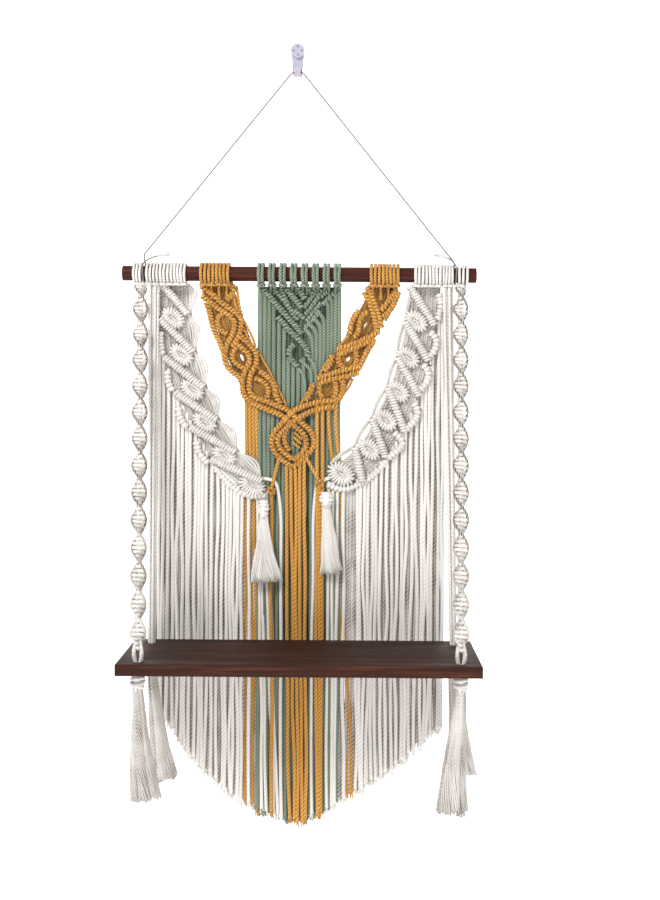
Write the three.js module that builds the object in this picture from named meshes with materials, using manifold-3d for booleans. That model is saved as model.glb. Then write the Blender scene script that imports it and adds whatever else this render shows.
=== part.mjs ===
// Macrame wall shelf: a wooden shelf board that hangs on cord legs from a wooden rod, with a knotted
// curtain in white, yellow and green behind it, and the thin cord and wall hook that carry the rod.
// Millimetres, +Z up. The wall is the plane y = 0 and everything stands in front of it, at y < 0.
// The origin is the centre of the wall hook's back face.
import * as THREE from 'three';
import { mergeVertices } from 'three/addons/utils/BufferGeometryUtils.js';
import Module from 'manifold-3d';

const wasm = await Module();
wasm.setup();

// Driving dimensions
const GAP = 0.3;
const CORD = 4.8;
const ROD = { length: 476, radius: 10, x: 5, y: -17, z: -292, sides: 24 };
const SHELF = { length: 450, depth: 150, thickness: 14, x: 13, back: -20, top: -784 };
const HOLE = { radius: 6.5, fromEnd: 25, fromEdge: 21, neck: 5.6 };
const HOOK = { headRadius: 9.5, headZ: 12.5, headDepth: 7, plateDepth: 3.5, bottom: -22, lipWidth: 9 };
const PIN = { radius: 0.8, circle: 5.5, proud: 0.6 };
const TWINE = { radius: 1, stepsPerPoint: 2, sides: 8 };
const SPIRAL = { wide: 9.2, narrow: 5.4, halfTurn: 40, stepsPerHalfTurn: 3, sides: 6, taper: 22 };

// Three layers of cords one behind the other, so that colours may cross without touching
const LAYER = { green: -3.4, white: -8.7, yellow: -13.6 };
const HALF = CORD / 2 - 0.1;

const steel = new THREE.MeshStandardMaterial({ color: '#8d8f94', roughness: 0.35, metalness: 1 });
const matte = (colour, roughness = 0.9) => new THREE.MeshStandardMaterial({ color: colour, roughness });
const white = matte('#e9e3da');
const yellow = matte('#d8962f');
const green = matte('#8fb09a');
const wood = matte('#4a2b22', 0.5);
const plastic = matte('#dcd9ea', 0.3);

// Joining and cutting
function solidOf(geometry) {
  const bare = geometry.clone();
  bare.deleteAttribute('normal');
  bare.deleteAttribute('uv');
  const merged = mergeVertices(bare, 1e-4);
  const vertProperties = new Float32Array(merged.attributes.position.array);
  const triVerts = new Uint32Array(merged.index.array);
  return new wasm.Manifold(new wasm.Mesh({ numProp: 3, vertProperties, triVerts }));
}

function geometryOf(solid) {
  const mesh = solid.getMesh();
  const geometry = new THREE.BufferGeometry();
  geometry.setAttribute('position', new THREE.BufferAttribute(mesh.vertProperties, 3));
  geometry.setIndex(new THREE.BufferAttribute(mesh.triVerts, 1));
  return geometry;
}

// Where bars cross, small hollows get walled in: the shells that bound them are dropped
function fillHollows(source) {
  const geometry = mergeVertices(source, 1e-3);
  const corners = geometry.index.array;
  const place = geometry.attributes.position;
  const faces = [];
  for (let i = 0; i < corners.length; i += 3) {
    const [p, q, r] = corners.subarray(i, i + 3);
    if (p !== q && q !== r && r !== p) faces.push([p, q, r]);
  }
  const shellOf = faces.map((_, i) => i);
  const find = (i) => {
    while (shellOf[i] !== i) i = shellOf[i];
    return i;
  };
  const faceAtEdge = new Map();
  faces.forEach((face, i) => face.forEach((from, k) => {
    const to = face[(k + 1) % 3];
    faceAtEdge.set(`${from} ${to}`, i);
    const other = faceAtEdge.get(`${to} ${from}`);
    if (other !== undefined) shellOf[find(other)] = find(i);
  }));
  const corner = (i) => new THREE.Vector3().fromBufferAttribute(place, i);
  const volumes = new Map();
  faces.forEach(([p, q, r], i) => {
    const volume = corner(p).dot(corner(q).cross(corner(r))) / 6;
    volumes.set(find(i), (volumes.get(find(i)) ?? 0) + volume);
  });
  geometry.setIndex(faces.filter((_, i) => volumes.get(find(i)) > 0).flat());
  return geometry;
}

// Faces that lie in one plane to within this many millimetres are joined
const FLAT_ENOUGH = 0.02;
function fuse(pieces) {
  let whole = solidOf(pieces[0]);
  for (const piece of pieces.slice(1)) whole = whole.add(solidOf(piece));
  return fillHollows(geometryOf(whole.asOriginal().simplify(FLAT_ENOUGH)));
}

function cut(body, tools) {
  let whole = solidOf(body);
  for (const tool of tools) whole = whole.subtract(solidOf(tool));
  return geometryOf(whole);
}

// A closed cylinder whose rings are moved along a path; sectionAt gives each ring its half sizes and turn
function sweep(curve, steps, sides, sectionAt) {
  const geometry = new THREE.CylinderGeometry(1, 1, 1, sides, steps);
  const place = geometry.attributes.position;
  const outward = new THREE.Vector3(0, 1, 0);
  for (let i = 0; i < place.count; i += 1) {
    const t = Math.min(Math.max(place.getY(i) + 0.5, 0), 1);
    const along = curve.getTangentAt(t);
    const across = along.clone().cross(outward).normalize();
    const front = across.clone().cross(along);
    const { a, b, turn } = sectionAt(t);
    const x = place.getX(i) * Math.cos(turn) * a - place.getZ(i) * Math.sin(turn) * b;
    const y = place.getX(i) * Math.sin(turn) * a + place.getZ(i) * Math.cos(turn) * b;
    const point = curve.getPointAt(t).addScaledVector(across, x).addScaledVector(front, y);
    place.setXYZ(i, point.x, point.y, point.z);
  }
  return geometry;
}

// Curtain places are x from the hook's line and drop below the rod's axis
const at = (x, drop, y) => new THREE.Vector3(x, y, ROD.z - drop);

function pathOf(points) {
  if (points.length === 2) return new THREE.LineCurve3(points[0], points[1]);
  return new THREE.CatmullRomCurve3(points, false, 'centripetal');
}

// A plain cord of the curtain, four-sided, with its corners to the sides and front; it bends at its points
function strand(points, half = HALF) {
  const curve = pathOf(points);
  curve.getUtoTmapping = (share) => share;
  return sweep(curve, points.length - 1, 4, () => ({ a: half * 1.15, b: half, turn: 0 }));
}

// A bar of hitches: a tube with a ridge for every second hitch
const RIDGE = { pitch: 14, dip: 0.76, end: 0.6, sides: 4 };
function ridgedBar(points, halfWidth, halfDepth) {
  const curve = pathOf(points);
  const steps = 2 * Math.max(2, Math.round(curve.getLength() / RIDGE.pitch));
  const sectionAt = (t) => {
    const step = Math.round(t * steps);
    const atEnd = step === 0 || step === steps;
    const size = atEnd ? RIDGE.end : step % 2 === 1 ? 1 : RIDGE.dip;
    return { a: halfWidth * size, b: halfDepth * size, turn: Math.PI / 4 };
  };
  return sweep(curve, steps, RIDGE.sides, sectionAt);
}

// A round knot seen from the front: a flat ball whose rim has petals
function berry(x, drop, y, radius, depth, petals = 5) {
  const geometry = new THREE.SphereGeometry(1, petals * 2, 3);
  const place = geometry.attributes.position;
  for (let i = 0; i < place.count; i += 1) {
    const angle = Math.atan2(place.getZ(i), place.getX(i));
    const petal = 1 + 0.08 * Math.cos(angle * petals);
    const side = place.getX(i) * radius * petal;
    const up = place.getZ(i) * radius * petal;
    place.setXYZ(i, x + side, y + place.getY(i) * depth, ROD.z - drop + up);
  }
  return geometry;
}

// A heading: a sleeve of cord loops round the rod, one ridge to a loop
const SLEEVE = { clear: ROD.radius + 0.4, outer: 15, dip: 13.6 };
function heading(from, to, loops, sides = 8) {
  const bore = SLEEVE.clear / Math.cos(Math.PI / sides);
  const width = to - from;
  const profile = [new THREE.Vector2(bore, 0), new THREE.Vector2(SLEEVE.dip, 0)];
  for (let i = 0; i < loops; i += 1) {
    profile.push(new THREE.Vector2(SLEEVE.outer, ((i + 0.5) / loops) * width));
    profile.push(new THREE.Vector2(SLEEVE.dip, ((i + 1) / loops) * width));
  }
  profile.push(new THREE.Vector2(bore, width));
  profile.push(new THREE.Vector2(bore, 0));
  const geometry = new THREE.LatheGeometry(profile, sides);
  geometry.rotateZ(-Math.PI / 2);
  geometry.translate(from, ROD.y, ROD.z);
  return geometry;
}

// Uneven cut ends: a repeatable share between -1 and 1
const uneven = (n) => Math.sin(n * 12.9898) * Math.cos(n * 78.233);

// Straight-line reading of a table with rows of x and drop
function readTable(rows, x) {
  const after = rows.findIndex((row) => row.x >= x);
  if (after <= 0) return after === 0 ? rows[0].drop : rows[rows.length - 1].drop;
  const low = rows[after - 1];
  const high = rows[after];
  return low.drop + ((x - low.x) / (high.x - low.x)) * (high.drop - low.drop);
}

// The curtain's lower edge, a V with its tip in the middle
const HEM = [
  { x: -192, drop: 588 }, { x: -178, drop: 597 }, { x: -154, drop: 628 }, { x: -133, drop: 656 },
  { x: -95, drop: 694 }, { x: -63, drop: 718 }, { x: 0, drop: 737 }, { x: 20, drop: 735 },
  { x: 45, drop: 722 }, { x: 74, drop: 704 }, { x: 105, drop: 687 }, { x: 147, drop: 658 },
  { x: 182, drop: 625 }, { x: 198, drop: 610 },
];
const HEM_UNEVEN = 5;
const hemAt = (x) => readTable(HEM, x) + HEM_UNEVEN * uneven(x);

function hangingStrand(x, root, y, lean = 0) {
  return strand([at(x - lean, root, y), at(x, hemAt(x), y)]);
}

// Where the white fringe leaves each band
const ROOTS_LEFT = [
  { x: -188, drop: 66 }, { x: -180, drop: 104 }, { x: -172, drop: 132 }, { x: -164, drop: 158 },
  { x: -150, drop: 186 }, { x: -135, drop: 216 }, { x: -118, drop: 246 }, { x: -108, drop: 262 },
  { x: -98, drop: 276 }, { x: -80, drop: 290 }, { x: -58, drop: 298 }, { x: -36, drop: 296 },
];
const ROOTS_RIGHT = [
  { x: 40, drop: 280 }, { x: 64, drop: 286 }, { x: 90, drop: 280 }, { x: 108, drop: 268 },
  { x: 128, drop: 244 }, { x: 140, drop: 226 }, { x: 150, drop: 206 }, { x: 160, drop: 186 },
  { x: 168, drop: 166 }, { x: 178, drop: 140 }, { x: 188, drop: 104 }, { x: 196, drop: 40 },
];
const FRINGE_PITCH = 8;

function fringe(from, to, roots) {
  const count = Math.round((to - from) / FRINGE_PITCH);
  const strands = [];
  for (let i = 0; i <= count; i += 1) {
    const x = from + (i / count) * (to - from);
    strands.push(hangingStrand(x, readTable(roots, x) - 3, LAYER.white));
  }
  return strands;
}

function rod() {
  const geometry = new THREE.CylinderGeometry(ROD.radius, ROD.radius, ROD.length, ROD.sides);
  geometry.rotateZ(Math.PI / 2);
  return geometry.translate(ROD.x, ROD.y, ROD.z);
}

const holeXs = [-1, 1].map((side) => SHELF.x + side * (SHELF.length / 2 - HOLE.fromEnd));
const holeYs = {
  front: SHELF.back - SHELF.depth + HOLE.fromEdge,
  back: SHELF.back - HOLE.fromEdge,
};

function shelf() {
  const board = new THREE.BoxGeometry(SHELF.length, SHELF.depth, SHELF.thickness);
  board.translate(SHELF.x, SHELF.back - SHELF.depth / 2, SHELF.top - SHELF.thickness / 2);
  const holes = [];
  for (const x of holeXs) {
    for (const y of Object.values(holeYs)) {
      const hole = new THREE.CylinderGeometry(HOLE.radius, HOLE.radius, SHELF.thickness * 2, 16);
      hole.rotateX(Math.PI / 2);
      holes.push(hole.translate(x, y, SHELF.top));
    }
  }
  return cut(board, holes);
}

// The wall hook: a moulded plate with a round head for four pins, and a lip at its foot that holds the cord
function hookPlate() {
  const outline = new THREE.Shape();
  outline.moveTo(-5.5, HOOK.bottom);
  outline.lineTo(5.5, HOOK.bottom);
  outline.lineTo(6.8, -12);
  outline.lineTo(8.6, HOOK.headZ - 3);
  outline.lineTo(-8.6, HOOK.headZ - 3);
  outline.lineTo(-6.8, -12);
  const plate = new THREE.ExtrudeGeometry(outline, { depth: HOOK.plateDepth, bevelEnabled: false });
  return plate.rotateX(Math.PI / 2);
}

function hookLip() {
  const side = new THREE.Shape();
  side.moveTo(2, HOOK.bottom);
  side.lineTo(7, HOOK.bottom + 0.5);
  side.lineTo(10.5, HOOK.bottom + 4);
  side.lineTo(10.5, -10);
  side.lineTo(8, -10);
  side.lineTo(7.4, -17.4);
  side.lineTo(2, -17.4);
  const lip = new THREE.ExtrudeGeometry(side, { depth: HOOK.lipWidth, bevelEnabled: false });
  lip.translate(0, 0, -HOOK.lipWidth / 2);
  lip.rotateX(Math.PI / 2);
  return lip.rotateZ(-Math.PI / 2);
}

const pinPlaces = [0, 1, 2, 3].map((i) => ({
  x: PIN.circle * Math.cos((i * Math.PI) / 2),
  z: HOOK.headZ + PIN.circle * Math.sin((i * Math.PI) / 2),
}));

function pinAt({ x, z }, radius, depth) {
  const pin = new THREE.CylinderGeometry(radius, radius, depth, 8);
  return pin.translate(x, -depth / 2, z);
}

function wallHook() {
  const head = new THREE.CylinderGeometry(HOOK.headRadius, HOOK.headRadius, HOOK.headDepth, 20);
  head.translate(0, -HOOK.headDepth / 2, HOOK.headZ);
  const body = fuse([head, hookPlate(), hookLip()]);
  return cut(body, pinPlaces.map((place) => {
    const hole = new THREE.CylinderGeometry(PIN.radius + GAP, PIN.radius + GAP, HOOK.headDepth * 4, 8);
    return hole.translate(place.x, 0, place.z);
  }));
}

// The hanging cord: one turn round the rod at each side, crossed by its own free tail
const TURN = { pitch: 2.6, radius: ROD.radius + TWINE.radius + 1, from: 45, step: 45 };
const TIES = {
  left: { side: -1, x: -204, knot: { x: -204, rise: 26 }, tail: 25 },
  right: { side: 1, x: 214.5, knot: { x: 212.3, rise: 18.5 }, tail: 16 },
};

function freeTail({ side, x, tail }) {
  return [
    new THREE.Vector3(x - side * tail, -21.5, ROD.z + 24),
    new THREE.Vector3(x - side * tail * 0.5, -21.5, ROD.z + 21.5),
    new THREE.Vector3(x - side * 1.5, -22.6, ROD.z + 15.5),
  ];
}

function turnRoundRod({ side, x }) {
  const points = [];
  for (let angle = TURN.from; angle <= 360; angle += TURN.step) {
    const share = (angle - TURN.from) / (360 - TURN.from) - 0.5;
    const turn = THREE.MathUtils.degToRad(angle);
    points.push(new THREE.Vector3(
      x - side * share * TURN.pitch,
      ROD.y - TURN.radius * Math.sin(turn),
      ROD.z + TURN.radius * Math.cos(turn),
    ));
  }
  return points;
}

function riseToHook({ side, knot }) {
  const low = new THREE.Vector3(knot.x, ROD.y, ROD.z + knot.rise);
  const high = new THREE.Vector3(side * 12, -6.3, -23.2);
  return [0, 0.05, 0.5, 0.95, 1].map((share) => low.clone().lerp(high, share));
}

function hangingCordRoute() {
  const [left, right] = Object.values(TIES).map((tie) => [
    ...freeTail(tie), ...turnRoundRod(tie), ...riseToHook(tie),
  ]);
  const overHook = [
    new THREE.Vector3(-5.2, -5.9, -16.5),
    new THREE.Vector3(0, -5.7, -16),
    new THREE.Vector3(5.2, -5.9, -16.5),
  ];
  return [...left, ...overHook, ...right.reverse()];
}

function hangingCord() {
  const points = hangingCordRoute();
  const path = new THREE.CatmullRomCurve3(points, false, 'centripetal');
  path.getUtoTmapping = (share) => share;
  const section = new THREE.Shape();
  for (let i = 0; i < TWINE.sides; i += 1) {
    const angle = (i / TWINE.sides) * 2 * Math.PI;
    const corner = [TWINE.radius * Math.cos(angle), TWINE.radius * Math.sin(angle)];
    if (i === 0) section.moveTo(...corner);
    else section.lineTo(...corner);
  }
  const steps = (points.length - 1) * TWINE.stepsPerPoint;
  return new THREE.ExtrudeGeometry(section, { steps, extrudePath: path, bevelEnabled: false });
}

// Front leg: a spiral sinnet from its loops on the rod down into the front hole
function spiral(loopsFrom, loopsTo, topX, holeX) {
  const top = new THREE.Vector3(topX, ROD.y - 3, ROD.z - 13.2);
  const bottom = new THREE.Vector3(holeX, holeYs.front, SHELF.top - 1);
  const line = new THREE.LineCurve3(top, bottom);
  const length = line.getLength();
  const steps = Math.round((length / SPIRAL.halfTurn) * SPIRAL.stepsPerHalfTurn);
  const sinnet = sweep(line, steps, SPIRAL.sides, (t) => {
    const slimTop = 0.5 + (t * length) / SPIRAL.taper;
    const slimFoot = HOLE.neck / SPIRAL.wide + ((1 - t) * length) / SPIRAL.taper;
    const slim = Math.min(1, slimTop, slimFoot);
    const turn = (t * length * Math.PI) / SPIRAL.halfTurn;
    return { a: SPIRAL.wide * slim, b: Math.min(HOLE.neck, SPIRAL.narrow), turn };
  });
  const neck = new THREE.CylinderGeometry(HOLE.neck, HOLE.neck, 8, 8);
  neck.rotateX(Math.PI / 2);
  neck.translate(holeX, holeYs.front, SHELF.top - 2.6);
  return fuse([heading(loopsFrom, loopsTo, 2), sinnet, neck]);
}

// Back leg: plain cords side by side from their loops on the rod down into the back hole
function backCords(loopsFrom, loopsTo, topX, holeX) {
  const cords = [-1, 1].map((side) => strand([
    new THREE.Vector3(topX + side * 2.4, ROD.y - 3, ROD.z - 11),
    new THREE.Vector3(holeX + side * 2.4, holeYs.back, SHELF.top + 3),
  ], HALF + 0.3));
  const neck = new THREE.CylinderGeometry(HOLE.neck, HOLE.neck, 13, 8);
  neck.rotateX(Math.PI / 2);
  neck.translate(holeX, holeYs.back, SHELF.top - 0.2);
  return fuse([heading(loopsFrom, loopsTo, 3), ...cords, neck]);
}

// A bar of hitches from a table row
const barOf = (row, y, halfWidth, halfDepth) =>
  ridgedBar(row.map(([x, drop]) => at(x, drop, y)), halfWidth, halfDepth);

// White bands: bars that run down to the right, with a round knot between each two
const BAR = { whiteHalf: 4.6, yellowHalf: 4.7, greenHalf: 3.6, depth: 3.9 };
const BARS_WHITE_LEFT = [
  { from: [-178, 14], to: [-147, 54] },
  { from: [-183, 56], to: [-138, 104] },
  { from: [-176, 106], to: [-124, 152] },
  { from: [-161, 154], to: [-106, 196] },
  { from: [-138, 202], to: [-80, 238] },
  { from: [-112, 244], to: [-44, 276] },
];
const HEM_BAR_LEFT = [[-112, 246], [-100, 272], [-80, 290], [-58, 298], [-36, 296]];
const HEM_BAR_RIGHT = [[124, 246], [112, 266], [90, 280], [64, 286], [42, 280]];
const KNOTS_WHITE_LEFT = [
  { x: -162, drop: 62, size: 17 }, { x: -153, drop: 110, size: 17 }, { x: -139, drop: 155, size: 17 },
  { x: -121, drop: 198, size: 17 }, { x: -93, drop: 243, size: 17 }, { x: -58, drop: 282, size: 17 },
];
const BARS_WHITE_RIGHT = [
  { from: [160, 14], to: [186, 68] },
  { from: [149, 64], to: [179, 116] },
  { from: [139, 110], to: [168, 162] },
  { from: [125, 152], to: [153, 202] },
  { from: [104, 196], to: [124, 246] },
  { from: [83, 232], to: [88, 282] },
];
const KNOTS_WHITE_RIGHT = [
  { x: 162, drop: 62, size: 15 }, { x: 153, drop: 107, size: 15 }, { x: 145, drop: 150, size: 15 },
  { x: 132, drop: 194, size: 16 }, { x: 104, drop: 233, size: 16 }, { x: 62, drop: 268, size: 20 },
];

function whiteKnots(bars, knots) {
  const pieces = bars.map(({ from, to }) => barOf([from, to], LAYER.white - 3, BAR.whiteHalf, BAR.depth));
  for (const { x, drop, size } of knots) pieces.push(berry(x, drop, LAYER.white - 2, size, 4.4));
  return pieces;
}

// The slack cords along a band's edge, from knot to knot
function edgeCords(rows, y) {
  return rows.map((row) => strand(row.map(([x, drop]) => at(x, drop, y))));
}
const EARS_LEFT = [
  [[-183, 56], [-187, 36], [-178, 14]],
  [[-176, 106], [-186, 84], [-183, 56]],
  [[-161, 154], [-177, 134], [-176, 106]],
  [[-138, 202], [-158, 184], [-161, 154]],
  [[-112, 246], [-132, 232], [-138, 202]],
];
const EARS_RIGHT = [
  [[186, 68], [197, 44], [184, 14]],
  [[179, 116], [193, 96], [186, 68]],
  [[168, 162], [186, 148], [179, 116]],
  [[153, 202], [174, 190], [168, 162]],
  [[124, 246], [150, 236], [153, 202]],
];

// Short cords from a heading down to the first knots of its band
function headingCords(xs, y, drop) {
  return xs.map((x) => strand([at(x, 13.4, ROD.y + 1), at(x, drop, y)]));
}

function whiteBandLeft() {
  const knots = whiteKnots(BARS_WHITE_LEFT, KNOTS_WHITE_LEFT);
  knots.push(barOf(HEM_BAR_LEFT, LAYER.white - 1, BAR.whiteHalf, BAR.depth));
  const edges = edgeCords(EARS_LEFT, LAYER.white);
  const inner = [
    strand([at(-44, 276, LAYER.white), at(-29, 284, LAYER.white), at(-27, 330, LAYER.white),
      at(-27, hemAt(-27), LAYER.white)]),
  ];
  return fuse([
    heading(-183, -146.5, 5), ...headingCords([-175, -160], LAYER.white - 1, 44),
    ...knots, ...edges, ...fringe(-187, -36, ROOTS_LEFT), ...inner,
  ]);
}

function whiteBandRight() {
  const knots = whiteKnots(BARS_WHITE_RIGHT, KNOTS_WHITE_RIGHT);
  knots.push(barOf(HEM_BAR_RIGHT, LAYER.white - 1, BAR.whiteHalf, BAR.depth));
  const edges = edgeCords(EARS_RIGHT, LAYER.white);
  const inner = [
    strand([at(52, 278, LAYER.white), at(28, 284, LAYER.white), at(23, 330, LAYER.white),
      at(23, hemAt(23), LAYER.white)]),
  ];
  return fuse([
    heading(159, 196.5, 5), ...headingCords([164, 180], LAYER.white - 1, 44),
    ...knots, ...edges, ...fringe(42, 194, ROOTS_RIGHT), ...inner,
  ]);
}

// Yellow chain: each row is one line of hitches, given as places [x, drop] along it
const CHAIN_LEFT = [
  [[-126, 16], [-104, 33], [-84, 50], [-77, 68], [-84, 92], [-91, 112], [-85, 124], [-68, 130]],
  [[-122, 32], [-116, 62], [-104, 92], [-95, 120], [-80, 150], [-66, 168]],
  [[-96, 46], [-108, 58], [-106, 74], [-90, 86]],
  [[-84, 92], [-70, 95], [-60, 108], [-57, 126], [-63, 146], [-66, 168]],
  [[-57, 126], [-42, 134], [-35, 150], [-33, 168]],
  [[-66, 168], [-44, 178], [-24, 185], [-4, 189]],
];
const CHAIN_RIGHT = [
  [[97, 16], [108, 36], [112, 54], [110, 74], [88, 88], [64, 98], [50, 108]],
  [[86, 44], [80, 58], [82, 74], [68, 96]],
  [[136, 16], [130, 34], [114, 52]],
  [[110, 74], [102, 92], [88, 118], [66, 128], [44, 139], [26, 150]],
  [[88, 118], [78, 134], [60, 160], [34, 171], [8, 180], [-4, 189]],
];
const RING = [
  [[-4, 189], [14, 205], [23, 226], [12, 248], [-1, 262]],
  [[-4, 189], [-21, 206], [-30, 226], [-19, 248], [-1, 262]],
];
const EDGES_YELLOW = [
  [[-90, 14], [-74, 40], [-77, 66]],
  [[-57, 126], [-34, 148], [-10, 184]],
  [[131, 32], [122, 52], [111, 74]],
  [[26, 150], [10, 168], [-2, 184]],
];
const TAILS_YELLOW = [
  { x: -20, drop: 246 },
  { x: -9, drop: 256 }, { x: -2, drop: 258 }, { x: 6, drop: 254 }, { x: 14, drop: 246 },
  { x: 27, drop: 172 }, { x: 35, drop: 170 },
];
// These go back to the green cords' layer, so that the ends of the white bands lie over them
const TAILS_BEHIND = [
  { x: -67, drop: 166 }, { x: -59.5, drop: 172 }, { x: -52, drop: 175 },
  { x: 46, drop: 166 }, { x: 56.5, drop: 160 },
];
const TIES_YELLOW = [
  { from: [-20, 244], knot: [-31, 290] },
  { from: [14, 244], knot: [34, 280] },
];

function tieDown({ from, knot }) {
  const y = LAYER.yellow;
  const end = [knot[0] + Math.sign(knot[0]), hemAt(knot[0])];
  return strand([at(...from, y), at(...knot, y), at(knot[0], knot[1] + 30, y), at(...end, y)]);
}

function tailBehind({ x, drop }) {
  const end = at(x, hemAt(x), LAYER.green);
  return strand([at(x, drop, LAYER.yellow + 1), at(x, drop + 34, LAYER.green), end], 2.1);
}

function yellowChain() {
  const y = LAYER.yellow;
  const lines = [...CHAIN_LEFT, ...CHAIN_RIGHT].map((row) => barOf(row, y, BAR.yellowHalf, BAR.depth - 0.3));
  const ring = RING.map((row) => barOf(row, y, BAR.yellowHalf, BAR.depth - 0.3));
  const tails = TAILS_YELLOW.map(({ x, drop }) => hangingStrand(x, drop, y));
  return fuse([
    heading(-129, -88, 5), heading(99.5, 140, 5),
    ...headingCords([-120, -92], y, 22), ...headingCords([103, 134], y, 24),
    ...lines, ...ring, ...edgeCords(EDGES_YELLOW, y), ...tails, ...TIES_YELLOW.map(tieDown),
    ...TAILS_BEHIND.map(tailBehind),
  ]);
}

// Green panel: eight doubled loops, a V of bars that run down to the right, and plain cords
const GREEN = { pairs: 8, from: -52, to: 61.5, pairWidth: 10.6 };
const BARS_GREEN = [
  [[-45, 18], [-25, 41], [-4, 66], [9, 81]],
  [[-25, 56], [-11, 73], [4, 88], [14, 102]],
  [[-14, 18], [2, 38], [9, 47]],
  [[33, 20], [19, 35], [8, 49]],
  [[33, 46], [19, 60], [4, 73]],
  [[14, 102], [16, 112], [4, 122], [-7, 114], [-8, 100], [4, 92]],
];
const CORDS_GREEN = [
  { x: -46.5, drop: 18 }, { x: -39.5, drop: 20 }, { x: -32, drop: 30 }, { x: -24, drop: 40 },
  { x: -16, drop: 52 }, { x: -5, drop: 112 }, { x: 4, drop: 118 }, { x: 13, drop: 108 },
  { x: 22, drop: 56 }, { x: 31, drop: 46 }, { x: 41, drop: 18 }, { x: 51, drop: 18 },
];

function greenPanel() {
  const y = LAYER.green;
  const pieces = [];
  const pitch = (GREEN.to - GREEN.from - GREEN.pairWidth) / (GREEN.pairs - 1);
  for (let i = 0; i < GREEN.pairs; i += 1) {
    const x = GREEN.from + i * pitch;
    pieces.push(heading(x, x + GREEN.pairWidth, 2, 6));
    pieces.push(strand([at(x + 5.3, 13.4, ROD.y + 1), at(x + 5.3, 24, y)], 3.4));
  }
  const web = strand([at(-50, 20, y - 0.4), at(58, 20, y - 0.4)], 2.6);
  const bars = BARS_GREEN.map((row) => barOf(row, y - 2.4, BAR.greenHalf, BAR.depth - 0.4));
  const cords = CORDS_GREEN.map(({ x, drop }) => strand([at(x, drop, y), at(x, hemAt(x) - 6, y)], 2));
  return fuse([...pieces, web, ...bars, ...cords]);
}

// Tassel: a gathered head over locks that spread a little towards their cut ends
function tassel({ top, head, length, spread, lean, locks, depth }) {
  const pieces = [];
  const profile = [
    new THREE.Vector2(0, 0), new THREE.Vector2(head.radius * 0.7, 0),
    new THREE.Vector2(head.radius, -head.height * 0.35),
    new THREE.Vector2(head.radius * 0.92, -head.height * 0.7),
    new THREE.Vector2(head.radius * 0.75, -head.height), new THREE.Vector2(0, -head.height),
  ].reverse();
  const ball = new THREE.LatheGeometry(profile, 8);
  ball.rotateX(Math.PI / 2);
  ball.scale(1, depth, 1);
  pieces.push(ball.translate(top.x, top.y, top.z));
  for (let i = 0; i < locks; i += 1) {
    const angle = ((i + 0.5) / locks) * 2 * Math.PI;
    const side = Math.cos(angle);
    const front = Math.sin(angle);
    const rootZ = top.z - head.height * 0.8;
    const root = new THREE.Vector3(
      top.x + side * head.radius * 0.5, top.y + front * head.radius * 0.5 * depth, rootZ,
    );
    const end = new THREE.Vector3(
      top.x + lean + side * spread, top.y + front * spread * depth, top.z - length + 4 * uneven(i + top.x),
    );
    pieces.push(strand([root, end], 3.2));
  }
  return pieces;
}

// Each small tassel lies on the cords in front of which its head is tied
const SMALL_TASSELS = {
  small_tassel_left: { x: -41, drop: 304, y: -21.5, lean: 3 },
  small_tassel_right: { x: 43, drop: 293, y: -19.2, lean: 7 },
};

function smallTassel({ x, drop, y, lean }) {
  const top = at(x, drop, y);
  return fuse(tassel({
    top, head: { radius: 9, height: 26 }, length: 114, spread: 11.5, lean, locks: 7, depth: 0.5,
  }));
}

function shelfTassel({ x, y, length, spread, lean }) {
  const top = new THREE.Vector3(x, y, SHELF.top - SHELF.thickness - 1);
  const neck = new THREE.CylinderGeometry(HOLE.neck, HOLE.neck, 9, 8);
  neck.rotateX(Math.PI / 2);
  neck.translate(x, y, SHELF.top - SHELF.thickness + 2.3);
  const pieces = tassel({
    top, head: { radius: 11, height: 26 }, length, spread, lean, locks: 9, depth: 0.85,
  });
  return fuse([neck, ...pieces]);
}

const SHELF_TASSELS = {
  shelf_tassel_front_left: { x: holeXs[0], y: holeYs.front, length: 158, spread: 15, lean: 9 },
  shelf_tassel_front_right: { x: holeXs[1], y: holeYs.front, length: 172, spread: 16, lean: -12 },
  shelf_tassel_back_left: { x: holeXs[0], y: holeYs.back, length: 170, spread: 12, lean: 18 },
  shelf_tassel_back_right: { x: holeXs[1], y: holeYs.back, length: 160, spread: 15, lean: 14 },
};

// The scene graph: one named mesh for each piece
const part = new THREE.Group();
function addPiece(name, geometry, material) {
  const mesh = new THREE.Mesh(geometry, material);
  mesh.name = name;
  part.add(mesh);
}

addPiece('rod', rod(), wood);
addPiece('shelf', shelf(), wood);
addPiece('wall_hook', wallHook(), plastic);
pinPlaces.forEach((place, i) => {
  addPiece(`hook_pin_${i + 1}`, pinAt(place, PIN.radius, HOOK.headDepth + PIN.proud), steel);
});
addPiece('hanging_cord', hangingCord(), white);
addPiece('spiral_left', spiral(-218.5, -206.9, -211, holeXs[0]), white);
addPiece('spiral_right', spiral(217.4, 232.5, 222, holeXs[1]), white);
addPiece('back_cords_left', backCords(-201.1, -184, -191, holeXs[0]), white);
addPiece('back_cords_right', backCords(197, 211.6, 205, holeXs[1]), white);
addPiece('white_band_left', whiteBandLeft(), white);
addPiece('white_band_right', whiteBandRight(), white);
addPiece('yellow_chain', yellowChain(), yellow);
addPiece('green_panel', greenPanel(), green);
for (const [name, form] of Object.entries(SMALL_TASSELS)) addPiece(name, smallTassel(form), white);
for (const [name, form] of Object.entries(SHELF_TASSELS)) addPiece(name, shelfTassel(form), white);

export default part;
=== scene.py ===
# %% [markdown]
# # A macrame wall shelf
# A shelf board hangs on cord legs from a wooden rod, with a knotted curtain in white, yellow and green
# behind it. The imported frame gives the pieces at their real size. This lesson lays the real cords where
# the frame has plain strands and bars, models the wood and the hook, and gives each surface its finish.

import math

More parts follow.
